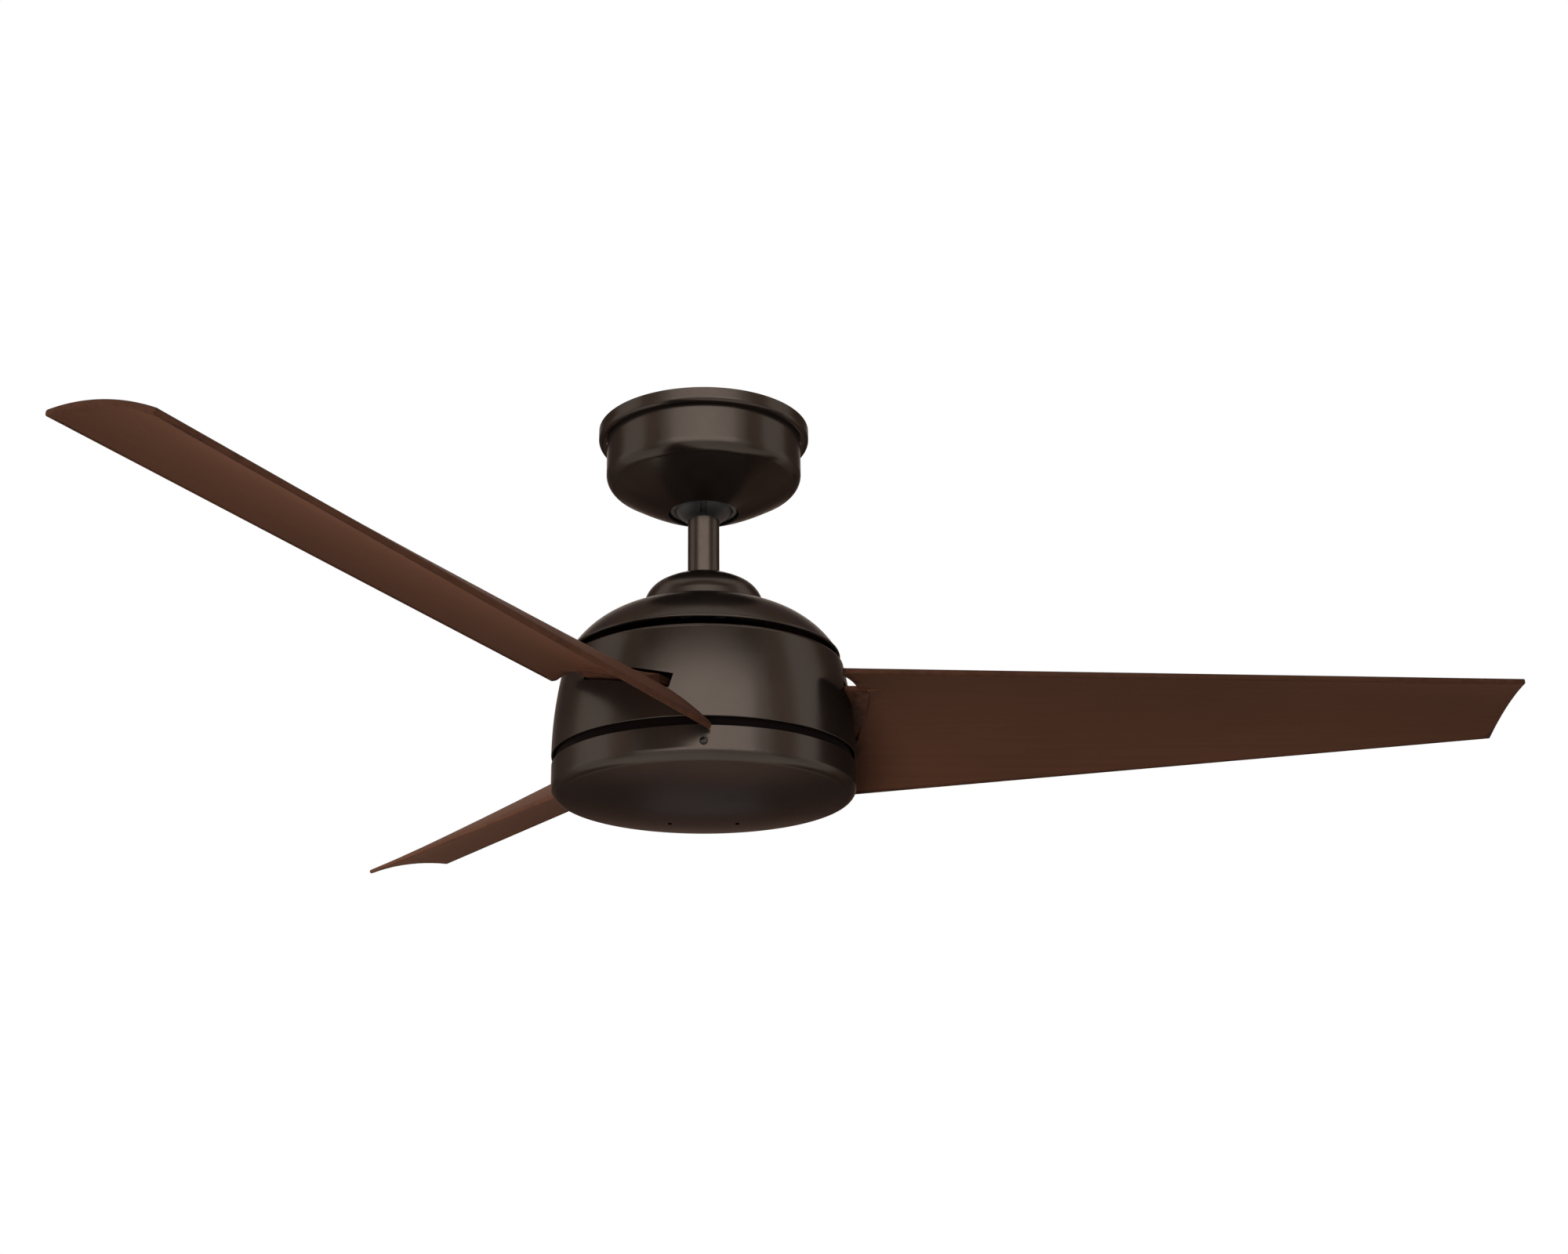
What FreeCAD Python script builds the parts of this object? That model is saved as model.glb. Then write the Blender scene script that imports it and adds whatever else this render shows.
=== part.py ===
import FreeCAD, Part
import math
import os

# Ceiling fan, three blades, hung from a ball on a short rod.
# Millimetres, +Z up. The origin is on the fan's axis at the ceiling plane.

V = FreeCAD.Vector
UP = V(0, 0, 1)

# Sheet metal, fasteners and fits
WALL = 1.4
FIT = 0.05
SEAT_GAP = 0.3
EDGE = 0.7
SCREW_R = 2.0
SCREW_HEAD_R = 3.6
SCREW_HEAD_H = 2.2
RECESS = 0.45
OVER = 1.0

# Ceiling bracket
BRACKET_T = 2.5
BRACKET_WIDTH = 44.0
BRACKET_TAB_DROP = 16.0
BOX_SLOT_SPACING = 79.4
BOX_SLOT_LENGTH = 14.8
BOX_SLOT_R = 2.6
WIRE_HOLE_R = 15.0
LEG_WIDTH = 26.0
LEG_REACH = 0.4

# Hanger ball, its cross pin and its set screw
BALL_R = 31.0
BALL_Z = -54.0
BALL_TOP = 14.0
SOCKET_GAP = 0.3
SOCKET_TOP = 2.0
SOCKET_BOTTOM = 19.0
SOCKET_MOUTH_GAP = 1.0
KEY_WIDTH = 5.0
KEY_DEPTH = 3.1
KEY_END = 2.0
KEY_ROOT = 0.5
KEY_SIDE_GAP = 0.5
KEY_TIP_GAP = 0.7
KEYWAY_DROP = 0.85
PIN_R = 3.1
PIN_LENGTH = 44.0
BALL_SCREW_Z = 6.0
BALL_SCREW_R = 2.5
BALL_SCREW_LENGTH = 12.0
BALL_SCREW_KEY_R = 1.3
BALL_SCREW_KEY_DEPTH = 4.0

# Canopy and the ring that hides its screws
CANOPY_R = 83.2
CANOPY_TOP = -0.5
CANOPY_WALL_Z = -40.0
CANOPY_SHOULDER = (80.9, -47.8)
CANOPY_BOWL = (75.5, -52.2)
CANOPY_BOWL_MID = (53.5, -64.8)
CANOPY_MOUTH_R = 30.0
CANOPY_MOUTH_Z = -75.5
CANOPY_SCREW_Z = -7.0
CANOPY_SCREW_LENGTH = 9.0
RING_R = 90.2
RING_HEIGHT = 12.0
RING_ROUND = 4.0
RING_GRIP = 0.1

# Downrod and motor coupling
ROD_R = 13.35
ROD_BORE_R = 10.5
ROD_TOP = -30.0
ROD_BOTTOM = -158.0
COLLAR_R = 19.5
COLLAR_TOP = -140.0
COUPLING_PIN_Z = -149.0
FLANGE_R = 38.0
FLANGE_T = 4.0
FLANGE_SCREW_R = 29.0
FLANGE_SCREWS = 3
FLANGE_SCREW_TURN = 30.0
PIN_TAIL = 5.0
PIN_HEAD_LEDGE = 1.6
PIN_HEAD_H = 2.0
COTTER_R = 0.9
COTTER_TAIL = 4.0
COTTER_NECK = 1.0
COTTER_EYE_R = 2.2
SET_SCREW_STAND = 2.5
SET_SCREW_HEAD = (5.0, 4.0)

# Coupling cover
COVER_TOP = -132.8
COVER_GAP = 0.8
COVER_CROWN = (28.8, -137.0)
COVER_SHOULDER = (40.5, -143.0)
COVER_SIDE = (46.6, -149.4)
COVER_SKIRT = (50.0, -158.5)
COVER_BASE_R = 51.0

# Upper housing
HOUSING_TOP = -167.0
HOUSING_HOLE_R = 21.0
HOUSING_FLAT_R = 54.0
HOUSING_SIDE = (92.6, -183.6)
HOUSING_RIM_R = 112.0
HOUSING_RIM_Z = -208.3
HOUSING_BEAD = 1.2

# Rotating band with the blade slots
BAND_TOP = -214.2
BAND_BOTTOM = -292.8
BAND_BOTTOM_R = 124.3
BAND_CURVE_R = 340.0
BAND_TOP_ROUND = 3.0
BAND_SCREWS = 3
BAND_SCREW_TURN = 60.0
SLOT_Z = -253.6
SLOT_LEADING = 43.9
SLOT_TRAILING = 39.8
SLOT_HEIGHT = 11.8
SLOT_PITCH = 14.2

# Motor
SHAFT_R = 9.0
SHAFT_BORE_R = 5.0
SHAFT_TOP = -159.5
SHAFT_BOTTOM = -311.0
BEARING_INNER_R = 12.0
BEARING_OUTER_R = 17.0
BEARING_OD_R = 20.0
BEARING_WIDTH = 10.0
BEARING_BALLS = 8
UPPER_BEARING_Z = -192.0
LOWER_BEARING_Z = -284.0
STATOR_R = 60.0
STATOR_YOKE_R = 36.0
STATOR_STACK = 28.0
STATOR_Z = -234.0
TEETH = 12
TOOTH_WIDTH = 11.0
SHOE_DEPTH = 4.0
SHOE_WIDTH = 25.0
COIL_T = 6.0
COIL_GAP = 0.4
COIL_ROUND = 0.9
AIR_GAP = 0.6
ROTOR_RING_T = 11.0
BELL_T = 4.0
BELL_TOP = -196.0
BELL_BOTTOM = -272.0
BELL_SPLIT = -235.0
ROTOR_BOLTS = 6
ROTOR_BOLT_TURN = 30.0
ROTOR_BOLT_GRIP = 8.0
BELL_R = STATOR_R + AIR_GAP + ROTOR_RING_T + FIT + BELL_T
BELL_FLANGE = 8.85
BELL_FLANGE_R = BELL_R + BELL_FLANGE
ROTOR_BOLT_OUT = 4.65
ROTOR_BOLT_R = BELL_R + ROTOR_BOLT_OUT
BAND_HOLE_GAP = 6.35
BAND_HOLE_R = BELL_R + BAND_HOLE_GAP
BAND_SCREW_OUT = 12.35
BAND_SCREW_R = BELL_R + BAND_SCREW_OUT
BAND_SEAT = 18.35
BAND_SEAT_R = BELL_R + BAND_SEAT

# Blade carrier and blades
BLADES = 3
SWEEP_R = 660.0
ROOT_R = 131.0
ROOT_X = 130.0
TIP_INSET = 20.0
TIP_X = SWEEP_R - TIP_INSET
OVERRUN = 20.0
LEAD_ROOT = (-74.5, -243.8)
LEAD_TIP = (-51.6, -243.9)
TRAIL_ROOT = (65.8, -302.7)
TRAIL_TIP = (35.5, -265.0)
CAMBER_ROOT = 18.4
CAMBER_TIP = 5.4
BLADE_T_ROOT = 5.0
BLADE_T_TIP = 4.2
CORNER_TIP = 5.0
TIP_EDGE = 1.2
CORNER_LEADING = 5.5
CORNER_TRAILING = 3.0
GROOVE_R = 0.7
GROOVE_IN = 1.2
GROOVE_LEAD_IN = 11.0
GROOVE_START = ROOT_R - GROOVE_LEAD_IN
GROOVE_RUN_OUT = 8.0
GROOVE_END = SWEEP_R - GROOVE_RUN_OUT
TONGUE_CORNER = 4.0
TONGUE_LEADING = 42.0
TONGUE_TRAILING = 35.5
TONGUE_T = 5.3
TONGUE_Z = SLOT_Z - 1.2
TONGUE_END = 88.0
BLEND_END = 152.0
BLEND_INSET = 0.8
PAD_T = 4.0
PAD_END = 110.0
PAD_INSET = 3.0
CARRIER_DEPTH = 27.0
BLADE_SCREW_X = 99.0
BLADE_SCREW_STEP = 24.0
BLADE_SCREW_ROW = (-1, 0, 1)
GROMMET_R = 4.0
BLADE_HEAD_LEDGE = 1.2

# Switch housing, capacitor and bottom cap
CAP_R = 124.0
CAP_TOP = -299.6
CAP_WALL = 17.4
CAP_CORNER = (2.0, 6.0)
CAP_FLOOR = (7.2, 9.0)
CAP_DISH = 11.4
CAP_SCREW_DROP = 12.6
CAP_SCREWS = 3
CAP_SCREW_TURN = -90.0
CAP_SCREW_LENGTH = 8.0
CAP_DIMPLE_R = 4.3
CAP_DIMPLE_DEPTH = 0.8
CAP_HEAD_R = 3.2
CAP_HEAD_H = 1.6
HOUSING_WALL_DROP = 16.0
BAFFLE_IN = 3.4
BAFFLE_RISE = 11.6
NUT_R = 15.0
NUT_H = 7.0
CAPACITOR = (42.0, 24.0, 16.0)
CAPACITOR_Y = 50.0
CAPACITOR_ROUND = 3.0
CLIP_T = 1.0
CLIP_FOOT = 9.0
DRAIN_R = 1.6
DRAIN_LENGTH = 11.0
DRAIN_X = 28.0
DRAIN_Y = 45.0


def point(r, z):
    """Point in the XZ half plane where outlines are drawn."""
    return V(r, 0, z)


def turned(*steps):
    """Solid of revolution. A step is an (r, z) corner, or a pair (through, end) for an arc."""
    edges = []
    here = steps[0]
    for step in list(steps[1:]) + [steps[0]]:
        if isinstance(step[0], tuple):
            through, end = step
            edges.append(Part.Arc(point(*here), point(*through), point(*end)).toShape())
            here = end
        elif step != here:
            edges.append(Part.LineSegment(point(*here), point(*step)).toShape())
            here = step
    face = Part.Face(Part.Wire(edges))
    return face.revolve(V(0, 0, 0), UP, 360)


def rounded(r, z, size, side):
    """Arc step over the outer corner at (r, z). Side is 1 for an upper corner, -1 for a lower one."""
    bend = size * (1 - math.sqrt(0.5))
    return ((r - bend, z - side * bend), (r - size, z))


def inside(at, lean):
    """Point one wall inside an outline point. Lean is how far its normal points below level, in degrees."""
    turn = math.radians(lean)
    return (at[0] - WALL * math.cos(turn), at[1] + WALL * math.sin(turn))


def disc(r, low, high):
    return Part.makeCylinder(r, high - low, V(0, 0, low))


def tube(inner, outer, low, high):
    return disc(outer, low, high).cut(disc(inner, low - OVER, high + OVER))


def rod_along(axis, r, start, length):
    return Part.makeCylinder(r, length, start, axis)


def block(x0, x1, y0, y1, z0, z1):
    return Part.makeBox(x1 - x0, y1 - y0, z1 - z0, V(x0, y0, z0))


def around(shape, count, first=0.0):
    """Copies of a shape, evenly spaced about the fan's axis."""
    copies = []
    for index in range(count):
        copy = shape.copy()
        copy.rotate(V(0, 0, 0), UP, first + index * 360.0 / count)
        copies.append(copy)
    return copies


def save(name, *solids):
    shape = solids[0] if len(solids) == 1 else Part.makeCompound(list(solids))
    shape.exportStep("parts/%s.step" % name)
    volume = sum(solid.Volume for solid in shape.Solids)
    print("%-24s %2d solids %10.0f mm3 valid %s" % (name, len(shape.Solids), volume, shape.isValid()))


def screw(axis, start, length, head_r=SCREW_HEAD_R, head_h=SCREW_HEAD_H, shank_r=SCREW_R):
    """Pan head screw: start is under the head, axis points from the head to the tip."""
    shank = rod_along(axis, shank_r, start, length)
    head = rod_along(axis * -1, head_r, start, head_h)
    recess = rod_along(axis * -1, head_r * RECESS, start - axis * (RECESS * head_h), head_h)
    return shank.fuse(head).cut(recess).removeSplitter()


def slot_cutter(x, y, r, reach, low, high):
    """Upright cutter for a slot with round ends, reaching along Y to both sides of its middle."""
    cutter = block(x - r, x + r, y - reach, y + reach, low, high)
    for end in (y - reach, y + reach):
        cutter = cutter.fuse(Part.makeCylinder(r, high - low, V(x, end, low)))
    return cutter


def hanger_bracket():
    inner_r = CANOPY_R - WALL - SEAT_GAP
    half = BRACKET_WIDTH / 2
    plate = disc(inner_r, -BRACKET_T, 0).common(block(-half, half, -inner_r, inner_r, -BRACKET_T, 0))
    tabs = tube(inner_r - BRACKET_T, inner_r, -BRACKET_TAB_DROP, 0)
    tabs = tabs.common(block(-half, half, -inner_r, inner_r, -BRACKET_TAB_DROP, 0))
    shell_in = BALL_R + SOCKET_GAP
    shell_out = shell_in + BRACKET_T
    centre = V(0, 0, BALL_Z)
    zone = disc(shell_out, BALL_Z - SOCKET_BOTTOM, BALL_Z - SOCKET_TOP)
    socket = Part.makeSphere(shell_out, centre).common(zone).cut(Part.makeSphere(shell_in, centre))
    mouth = ROD_R + SOCKET_MOUTH_GAP
    low = BALL_Z - SOCKET_BOTTOM
    socket = socket.cut(block(-mouth, mouth, 0, shell_out, low - OVER, BALL_Z))
    leg_in = shell_in + SEAT_GAP
    leg_half = LEG_WIDTH / 2
    leg = block(leg_in, leg_in + BRACKET_T, -leg_half, leg_half, BALL_Z - LEG_REACH * SOCKET_BOTTOM, 0)
    wing = block(0, leg_in + BRACKET_T, -leg_half, leg_half, -BRACKET_T, 0)
    side = leg.fuse(wing)
    body = plate.fuse([tabs, socket] + around(side, 2))
    key_start = V(-KEY_WIDTH / 2, 0, BALL_Z)
    key_ring = rod_along(V(1, 0, 0), shell_in + KEY_ROOT, key_start, KEY_WIDTH)
    key_core = rod_along(V(1, 0, 0), shell_in - KEY_DEPTH, key_start, KEY_WIDTH)
    key_zone = block(-half, half, -shell_out, 0, low + KEY_END, BALL_Z - SOCKET_TOP - KEY_END)
    body = body.fuse(key_ring.cut(key_core).common(key_zone))
    reach = (BOX_SLOT_LENGTH - 2 * BOX_SLOT_R) / 2
    for side_y in (-BOX_SLOT_SPACING / 2, BOX_SLOT_SPACING / 2):
        body = body.cut(slot_cutter(0, side_y, BOX_SLOT_R, reach, -BRACKET_T - OVER, OVER))
    body = body.cut(disc(WIRE_HOLE_R, -BRACKET_T - OVER, OVER))
    screw_bore = rod_along(V(0, 1, 0), SCREW_R + FIT, V(0, -RING_R, CANOPY_SCREW_Z), 2 * RING_R)
    return body.cut(screw_bore).removeSplitter()


def canopy():
    wall_in = CANOPY_R - WALL
    shell = turned(
        (CANOPY_R, CANOPY_TOP),
        (CANOPY_R, CANOPY_WALL_Z),
        (CANOPY_SHOULDER, CANOPY_BOWL),
        (CANOPY_BOWL_MID, (CANOPY_MOUTH_R, CANOPY_MOUTH_Z)),
        (CANOPY_MOUTH_R, CANOPY_MOUTH_Z + WALL),
        (inside(CANOPY_BOWL_MID, 63), inside(CANOPY_BOWL, 60)),
        (inside(CANOPY_SHOULDER, 37), (wall_in, CANOPY_WALL_Z)),
        (wall_in, CANOPY_TOP),
    )
    bore = rod_along(V(0, 1, 0), SCREW_R + FIT, V(0, -RING_R, CANOPY_SCREW_Z), 2 * RING_R)
    return shell.cut(bore)


def canopy_trim_ring():
    inner_round = RING_ROUND - WALL
    inner_bend = WALL + inner_round * (1 - math.sqrt(0.5))
    lip_r = CANOPY_R + RING_GRIP
    return turned(
        (RING_R, 0),
        (RING_R, RING_ROUND - RING_HEIGHT),
        rounded(RING_R, -RING_HEIGHT, RING_ROUND, -1),
        (lip_r, -RING_HEIGHT),
        (lip_r, WALL - RING_HEIGHT),
        (RING_R - RING_ROUND, WALL - RING_HEIGHT),
        ((RING_R - inner_bend, inner_bend - RING_HEIGHT), (RING_R - WALL, RING_ROUND - RING_HEIGHT)),
        (RING_R - WALL, 0),
    )


def canopy_screws():
    one = screw(V(0, -1, 0), V(0, CANOPY_R + FIT, CANOPY_SCREW_Z), CANOPY_SCREW_LENGTH)
    return around(one, 2)


def hanger_ball():
    ball = Part.makeSphere(BALL_R, V(0, 0, BALL_Z))
    ball = ball.common(disc(BALL_R + OVER, BALL_Z - BALL_R, BALL_Z + BALL_TOP))
    ball = ball.cut(disc(ROD_R + FIT, BALL_Z - BALL_R - OVER, BALL_Z + BALL_R))
    groove = rod_along(V(1, 0, 0), PIN_R + FIT, V(-BALL_R, 0, BALL_Z + BALL_TOP), 2 * BALL_R)
    half = KEY_WIDTH / 2 + KEY_SIDE_GAP
    floor_r = BALL_R + SOCKET_GAP - KEY_DEPTH - KEY_TIP_GAP
    start = V(-half, 0, BALL_Z)
    keyway = rod_along(V(1, 0, 0), BALL_R + OVER, start, 2 * half)
    keyway = keyway.cut(rod_along(V(1, 0, 0), floor_r, start, 2 * half))
    low = BALL_Z - KEYWAY_DROP * BALL_R
    keyway = keyway.common(block(-half, half, -BALL_R - OVER, 0, low, BALL_Z + BALL_TOP))
    bore = rod_along(V(0, 1, 0), BALL_SCREW_R + FIT, V(0, 0, BALL_Z + BALL_SCREW_Z), BALL_R)
    return ball.cut([groove, keyway, bore])


def hanger_pin():
    return rod_along(V(1, 0, 0), PIN_R, V(-PIN_LENGTH / 2, 0, BALL_Z + BALL_TOP), PIN_LENGTH)


def ball_set_screw():
    start = V(0, ROD_R + FIT, BALL_Z + BALL_SCREW_Z)
    grub = rod_along(V(0, 1, 0), BALL_SCREW_R, start, BALL_SCREW_LENGTH)
    key_start = start + V(0, BALL_SCREW_LENGTH - BALL_SCREW_KEY_DEPTH, 0)
    return grub.cut(rod_along(V(0, 1, 0), BALL_SCREW_KEY_R, key_start, BALL_SCREW_LENGTH))


def downrod():
    rod = tube(ROD_BORE_R, ROD_R, ROD_BOTTOM, ROD_TOP)
    for z in (BALL_Z + BALL_TOP, COUPLING_PIN_Z):
        rod = rod.cut(rod_along(V(1, 0, 0), PIN_R + FIT, V(-ROD_R - OVER, 0, z), 2 * (ROD_R + OVER)))
    return rod


def motor_coupling():
    flange_low = HOUSING_TOP
    body = disc(COLLAR_R, flange_low, COLLAR_TOP).fuse(disc(FLANGE_R, flange_low, flange_low + FLANGE_T))
    body = body.cut(disc(ROD_R + FIT, ROD_BOTTOM, COLLAR_TOP + OVER))
    body = body.cut(disc(SHAFT_R + FIT, flange_low - OVER, ROD_BOTTOM + OVER))
    reach = COLLAR_R + OVER
    for axis in (V(1, 0, 0), V(0, 1, 0)):
        body = body.cut(rod_along(axis, PIN_R + FIT, V(0, 0, COUPLING_PIN_Z) - axis * reach, 2 * reach))
    return body.cut(flange_bores()).removeSplitter()


def flange_bores():
    low = HOUSING_TOP - WALL - OVER
    bore = Part.makeCylinder(SCREW_R + FIT, WALL + FLANGE_T + 2 * OVER, V(FLANGE_SCREW_R, 0, low))
    return around(bore, FLANGE_SCREWS, FLANGE_SCREW_TURN)


def coupling_pin():
    start = -COLLAR_R - FIT
    pin = rod_along(V(1, 0, 0), PIN_R, V(start, 0, COUPLING_PIN_Z), 2 * COLLAR_R + PIN_TAIL)
    head = rod_along(V(-1, 0, 0), PIN_R + PIN_HEAD_LEDGE, V(start, 0, COUPLING_PIN_Z), PIN_HEAD_H)
    reach = PIN_R + OVER
    hole = rod_along(UP, COTTER_R + FIT, V(COLLAR_R + PIN_TAIL / 2, 0, COUPLING_PIN_Z - reach), 2 * reach)
    return pin.fuse(head).cut(hole).removeSplitter()


def cotter_pin():
    x = COLLAR_R + PIN_TAIL / 2
    top = COUPLING_PIN_Z + PIN_R + COTTER_NECK
    low = COUPLING_PIN_Z - PIN_R - COTTER_TAIL
    leg = rod_along(UP, COTTER_R, V(x, 0, low), top - low)
    eye = Part.makeTorus(COTTER_EYE_R, COTTER_R, V(x, 0, top + COTTER_EYE_R - COTTER_R / 4), V(1, 0, 0))
    return leg.fuse(eye).removeSplitter()


def coupling_set_screws():
    reach = COLLAR_R - ROD_R + SET_SCREW_STAND
    one = rod_along(V(0, 1, 0), PIN_R, V(0, ROD_R + FIT, COUPLING_PIN_Z), reach)
    head = hexagon(*SET_SCREW_HEAD)
    head.rotate(V(0, 0, 0), V(1, 0, 0), -90)
    head.translate(V(0, COLLAR_R + SET_SCREW_STAND, COUPLING_PIN_Z))
    return around(one.fuse(head).removeSplitter(), 2)


def hexagon(r, height):
    """Upright hexagonal prism on the axis, standing on z = 0."""
    corners = [V(r * math.cos(k * math.pi / 3), r * math.sin(k * math.pi / 3), 0) for k in range(7)]
    return Part.Face(Part.makePolygon(corners)).extrude(V(0, 0, height))


def coupling_cover():
    hole = ROD_R + COVER_GAP
    return turned(
        (hole, COVER_TOP),
        (COVER_CROWN, COVER_SHOULDER),
        (COVER_SIDE, COVER_SKIRT),
        (COVER_BASE_R, HOUSING_TOP),
        (COVER_BASE_R - WALL, HOUSING_TOP),
        inside(COVER_SKIRT, -11),
        (inside(COVER_SIDE, -30), inside(COVER_SHOULDER, -53)),
        (inside(COVER_CROWN, -72), (hole, COVER_TOP - WALL)),
    )


def upper_housing():
    bead_top = HOUSING_RIM_Z + 2 * HOUSING_BEAD
    shell = turned(
        (HOUSING_HOLE_R, HOUSING_TOP),
        (HOUSING_FLAT_R, HOUSING_TOP),
        (HOUSING_SIDE, (HOUSING_RIM_R, bead_top)),
        ((HOUSING_RIM_R + HOUSING_BEAD, bead_top - HOUSING_BEAD), (HOUSING_RIM_R, HOUSING_RIM_Z)),
        (HOUSING_RIM_R - WALL, HOUSING_RIM_Z),
        (HOUSING_RIM_R - WALL, bead_top),
        (inside(HOUSING_SIDE, -49), (HOUSING_FLAT_R, HOUSING_TOP - WALL)),
        (HOUSING_HOLE_R, HOUSING_TOP - WALL),
    )
    return shell.cut(flange_bores())


def housing_screws():
    start = V(FLANGE_SCREW_R, 0, HOUSING_TOP - WALL - FIT)
    return around(screw(UP, start, WALL + FLANGE_T), FLANGE_SCREWS, FLANGE_SCREW_TURN)


def motor_shaft():
    return tube(SHAFT_BORE_R, SHAFT_R, SHAFT_BOTTOM, SHAFT_TOP)


def on_shaft(low, high):
    """Ring pushed over the shaft."""
    return tube(SHAFT_R + FIT, BEARING_INNER_R, low, high)


def bearing_balls(low):
    radius = (BEARING_OUTER_R - BEARING_INNER_R) / 2 - FIT
    pitch_r = (BEARING_OUTER_R + BEARING_INNER_R) / 2
    return around(Part.makeSphere(radius, V(pitch_r, 0, low + BEARING_WIDTH / 2)), BEARING_BALLS)


def stator_core():
    low = STATOR_Z - STATOR_STACK / 2
    high = STATOR_Z + STATOR_STACK / 2
    core = disc(STATOR_YOKE_R, low, high)
    tooth = block(0, STATOR_R, -TOOTH_WIDTH / 2, TOOTH_WIDTH / 2, low, high)
    shoe = block(STATOR_R - SHOE_DEPTH, STATOR_R + OVER, -SHOE_WIDTH / 2, SHOE_WIDTH / 2, low, high)
    core = core.fuse(around(tooth.fuse(shoe), TEETH)).common(disc(STATOR_R, low, high))
    return core.cut(disc(SHAFT_R + FIT, low - OVER, high + OVER)).removeSplitter()


def stator_windings():
    inner = STATOR_YOKE_R + COIL_GAP
    outer = STATOR_R - SHOE_DEPTH - COIL_GAP
    half_w = TOOTH_WIDTH / 2 + COIL_GAP
    half_h = STATOR_STACK / 2 + COIL_GAP
    room = inner * math.tan(math.pi / TEETH) - half_w - COIL_GAP
    side = min(COIL_T, room)
    coil = block(inner, outer, -half_w - side, half_w + side,
                 STATOR_Z - half_h - COIL_T, STATOR_Z + half_h + COIL_T)
    long_edges = [edge for edge in coil.Edges if abs(edge.tangentAt(edge.FirstParameter).x) > 0.9]
    coil = coil.makeFillet(side * COIL_ROUND, long_edges)
    window = block(inner - OVER, outer + OVER, -half_w, half_w, STATOR_Z - half_h, STATOR_Z + half_h)
    return around(coil.cut(window), TEETH)


def rotor_ring():
    inner = STATOR_R + AIR_GAP
    half = STATOR_STACK / 2
    return tube(inner, inner + ROTOR_RING_T, STATOR_Z - half, STATOR_Z + half)


def rotor_bolt_bores():
    low = BELL_SPLIT - BELL_T - ROTOR_BOLT_GRIP - OVER
    high = BELL_SPLIT + BELL_T + OVER
    bore = Part.makeCylinder(SCREW_R + FIT, high - low, V(ROTOR_BOLT_R, 0, low))
    return around(bore, ROTOR_BOLTS, ROTOR_BOLT_TURN)


def rotor_upper_bell():
    outer = BELL_R
    inner = outer - BELL_T
    seat = BAND_TOP - WALL
    boss = BEARING_OD_R + BELL_T
    body = tube(inner, outer, BELL_SPLIT, BELL_TOP).fuse(disc(outer, BELL_TOP - BELL_T, BELL_TOP))
    body = body.fuse(disc(boss, BELL_TOP - BELL_T, UPPER_BEARING_Z + BEARING_WIDTH))
    body = body.fuse(tube(inner, BELL_FLANGE_R, BELL_SPLIT, BELL_SPLIT + BELL_T))
    body = body.fuse(tube(inner, BAND_SEAT_R, seat - BELL_T, seat))
    body = body.cut(disc(BEARING_OD_R + FIT, UPPER_BEARING_Z, UPPER_BEARING_Z + BEARING_WIDTH + OVER))
    body = body.cut(disc(BEARING_OUTER_R, BELL_TOP - BELL_T - OVER, UPPER_BEARING_Z + OVER))
    return body.cut(band_bores()).cut(rotor_bolt_bores()).removeSplitter()


def band_bores():
    low = BAND_TOP - WALL - BELL_T - OVER
    bore = Part.makeCylinder(SCREW_R + FIT, WALL + BELL_T + 2 * OVER, V(BAND_SCREW_R, 0, low))
    return around(bore, BAND_SCREWS, BAND_SCREW_TURN)


def rotor_lower_bell():
    outer = BELL_R
    inner = outer - BELL_T
    boss = BEARING_OD_R + BELL_T
    body = tube(inner, outer, BELL_BOTTOM, BELL_SPLIT).fuse(disc(outer, BELL_BOTTOM, BELL_BOTTOM + BELL_T))
    body = body.fuse(disc(boss, LOWER_BEARING_Z, BELL_BOTTOM + BELL_T))
    body = body.fuse(tube(inner, BELL_FLANGE_R, BELL_SPLIT - BELL_T, BELL_SPLIT))
    seat = LOWER_BEARING_Z + BEARING_WIDTH
    body = body.cut(disc(BEARING_OD_R + FIT, LOWER_BEARING_Z - OVER, seat))
    body = body.cut(disc(BEARING_OUTER_R, seat - OVER, BELL_BOTTOM + BELL_T + OVER))
    return body.cut(rotor_bolt_bores()).removeSplitter()


def rotor_bolts():
    start = V(ROTOR_BOLT_R, 0, BELL_SPLIT + BELL_T + FIT)
    one = screw(UP * -1, start, 2 * BELL_T + ROTOR_BOLT_GRIP)
    return around(one, ROTOR_BOLTS, ROTOR_BOLT_TURN)


def tilt(shape, pitch, z):
    """Tips a shape drawn level about the blade's own axis, trailing side down."""
    tipped = shape.copy()
    tipped.translate(V(0, 0, z))
    tipped.rotate(V(0, 0, z), V(1, 0, 0), -pitch)
    return tipped


def blade_carrier():
    inner = BELL_R + FIT
    top = BELL_SPLIT - BELL_T
    ring = tube(inner, BELL_FLANGE_R, top - CARRIER_DEPTH, top)
    lead, trail = PAD_INSET - TONGUE_LEADING, TONGUE_TRAILING - PAD_INSET
    pad = block(inner, PAD_END, lead, trail, TONGUE_T / 2, TONGUE_T / 2 + PAD_T)
    pad = tilt(pad, SLOT_PITCH, TONGUE_Z).cut(disc(inner, top - 2 * CARRIER_DEPTH, top + CARRIER_DEPTH))
    body = ring.fuse(around(pad, BLADES)).cut(rotor_bolt_bores())
    bore = Part.makeCylinder(SCREW_R + FIT, 3 * TONGUE_T, V(0, 0, -TONGUE_T))
    for row in on_tongue(bore):
        body = body.cut(around(row, BLADES))
    return body.removeSplitter()


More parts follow.
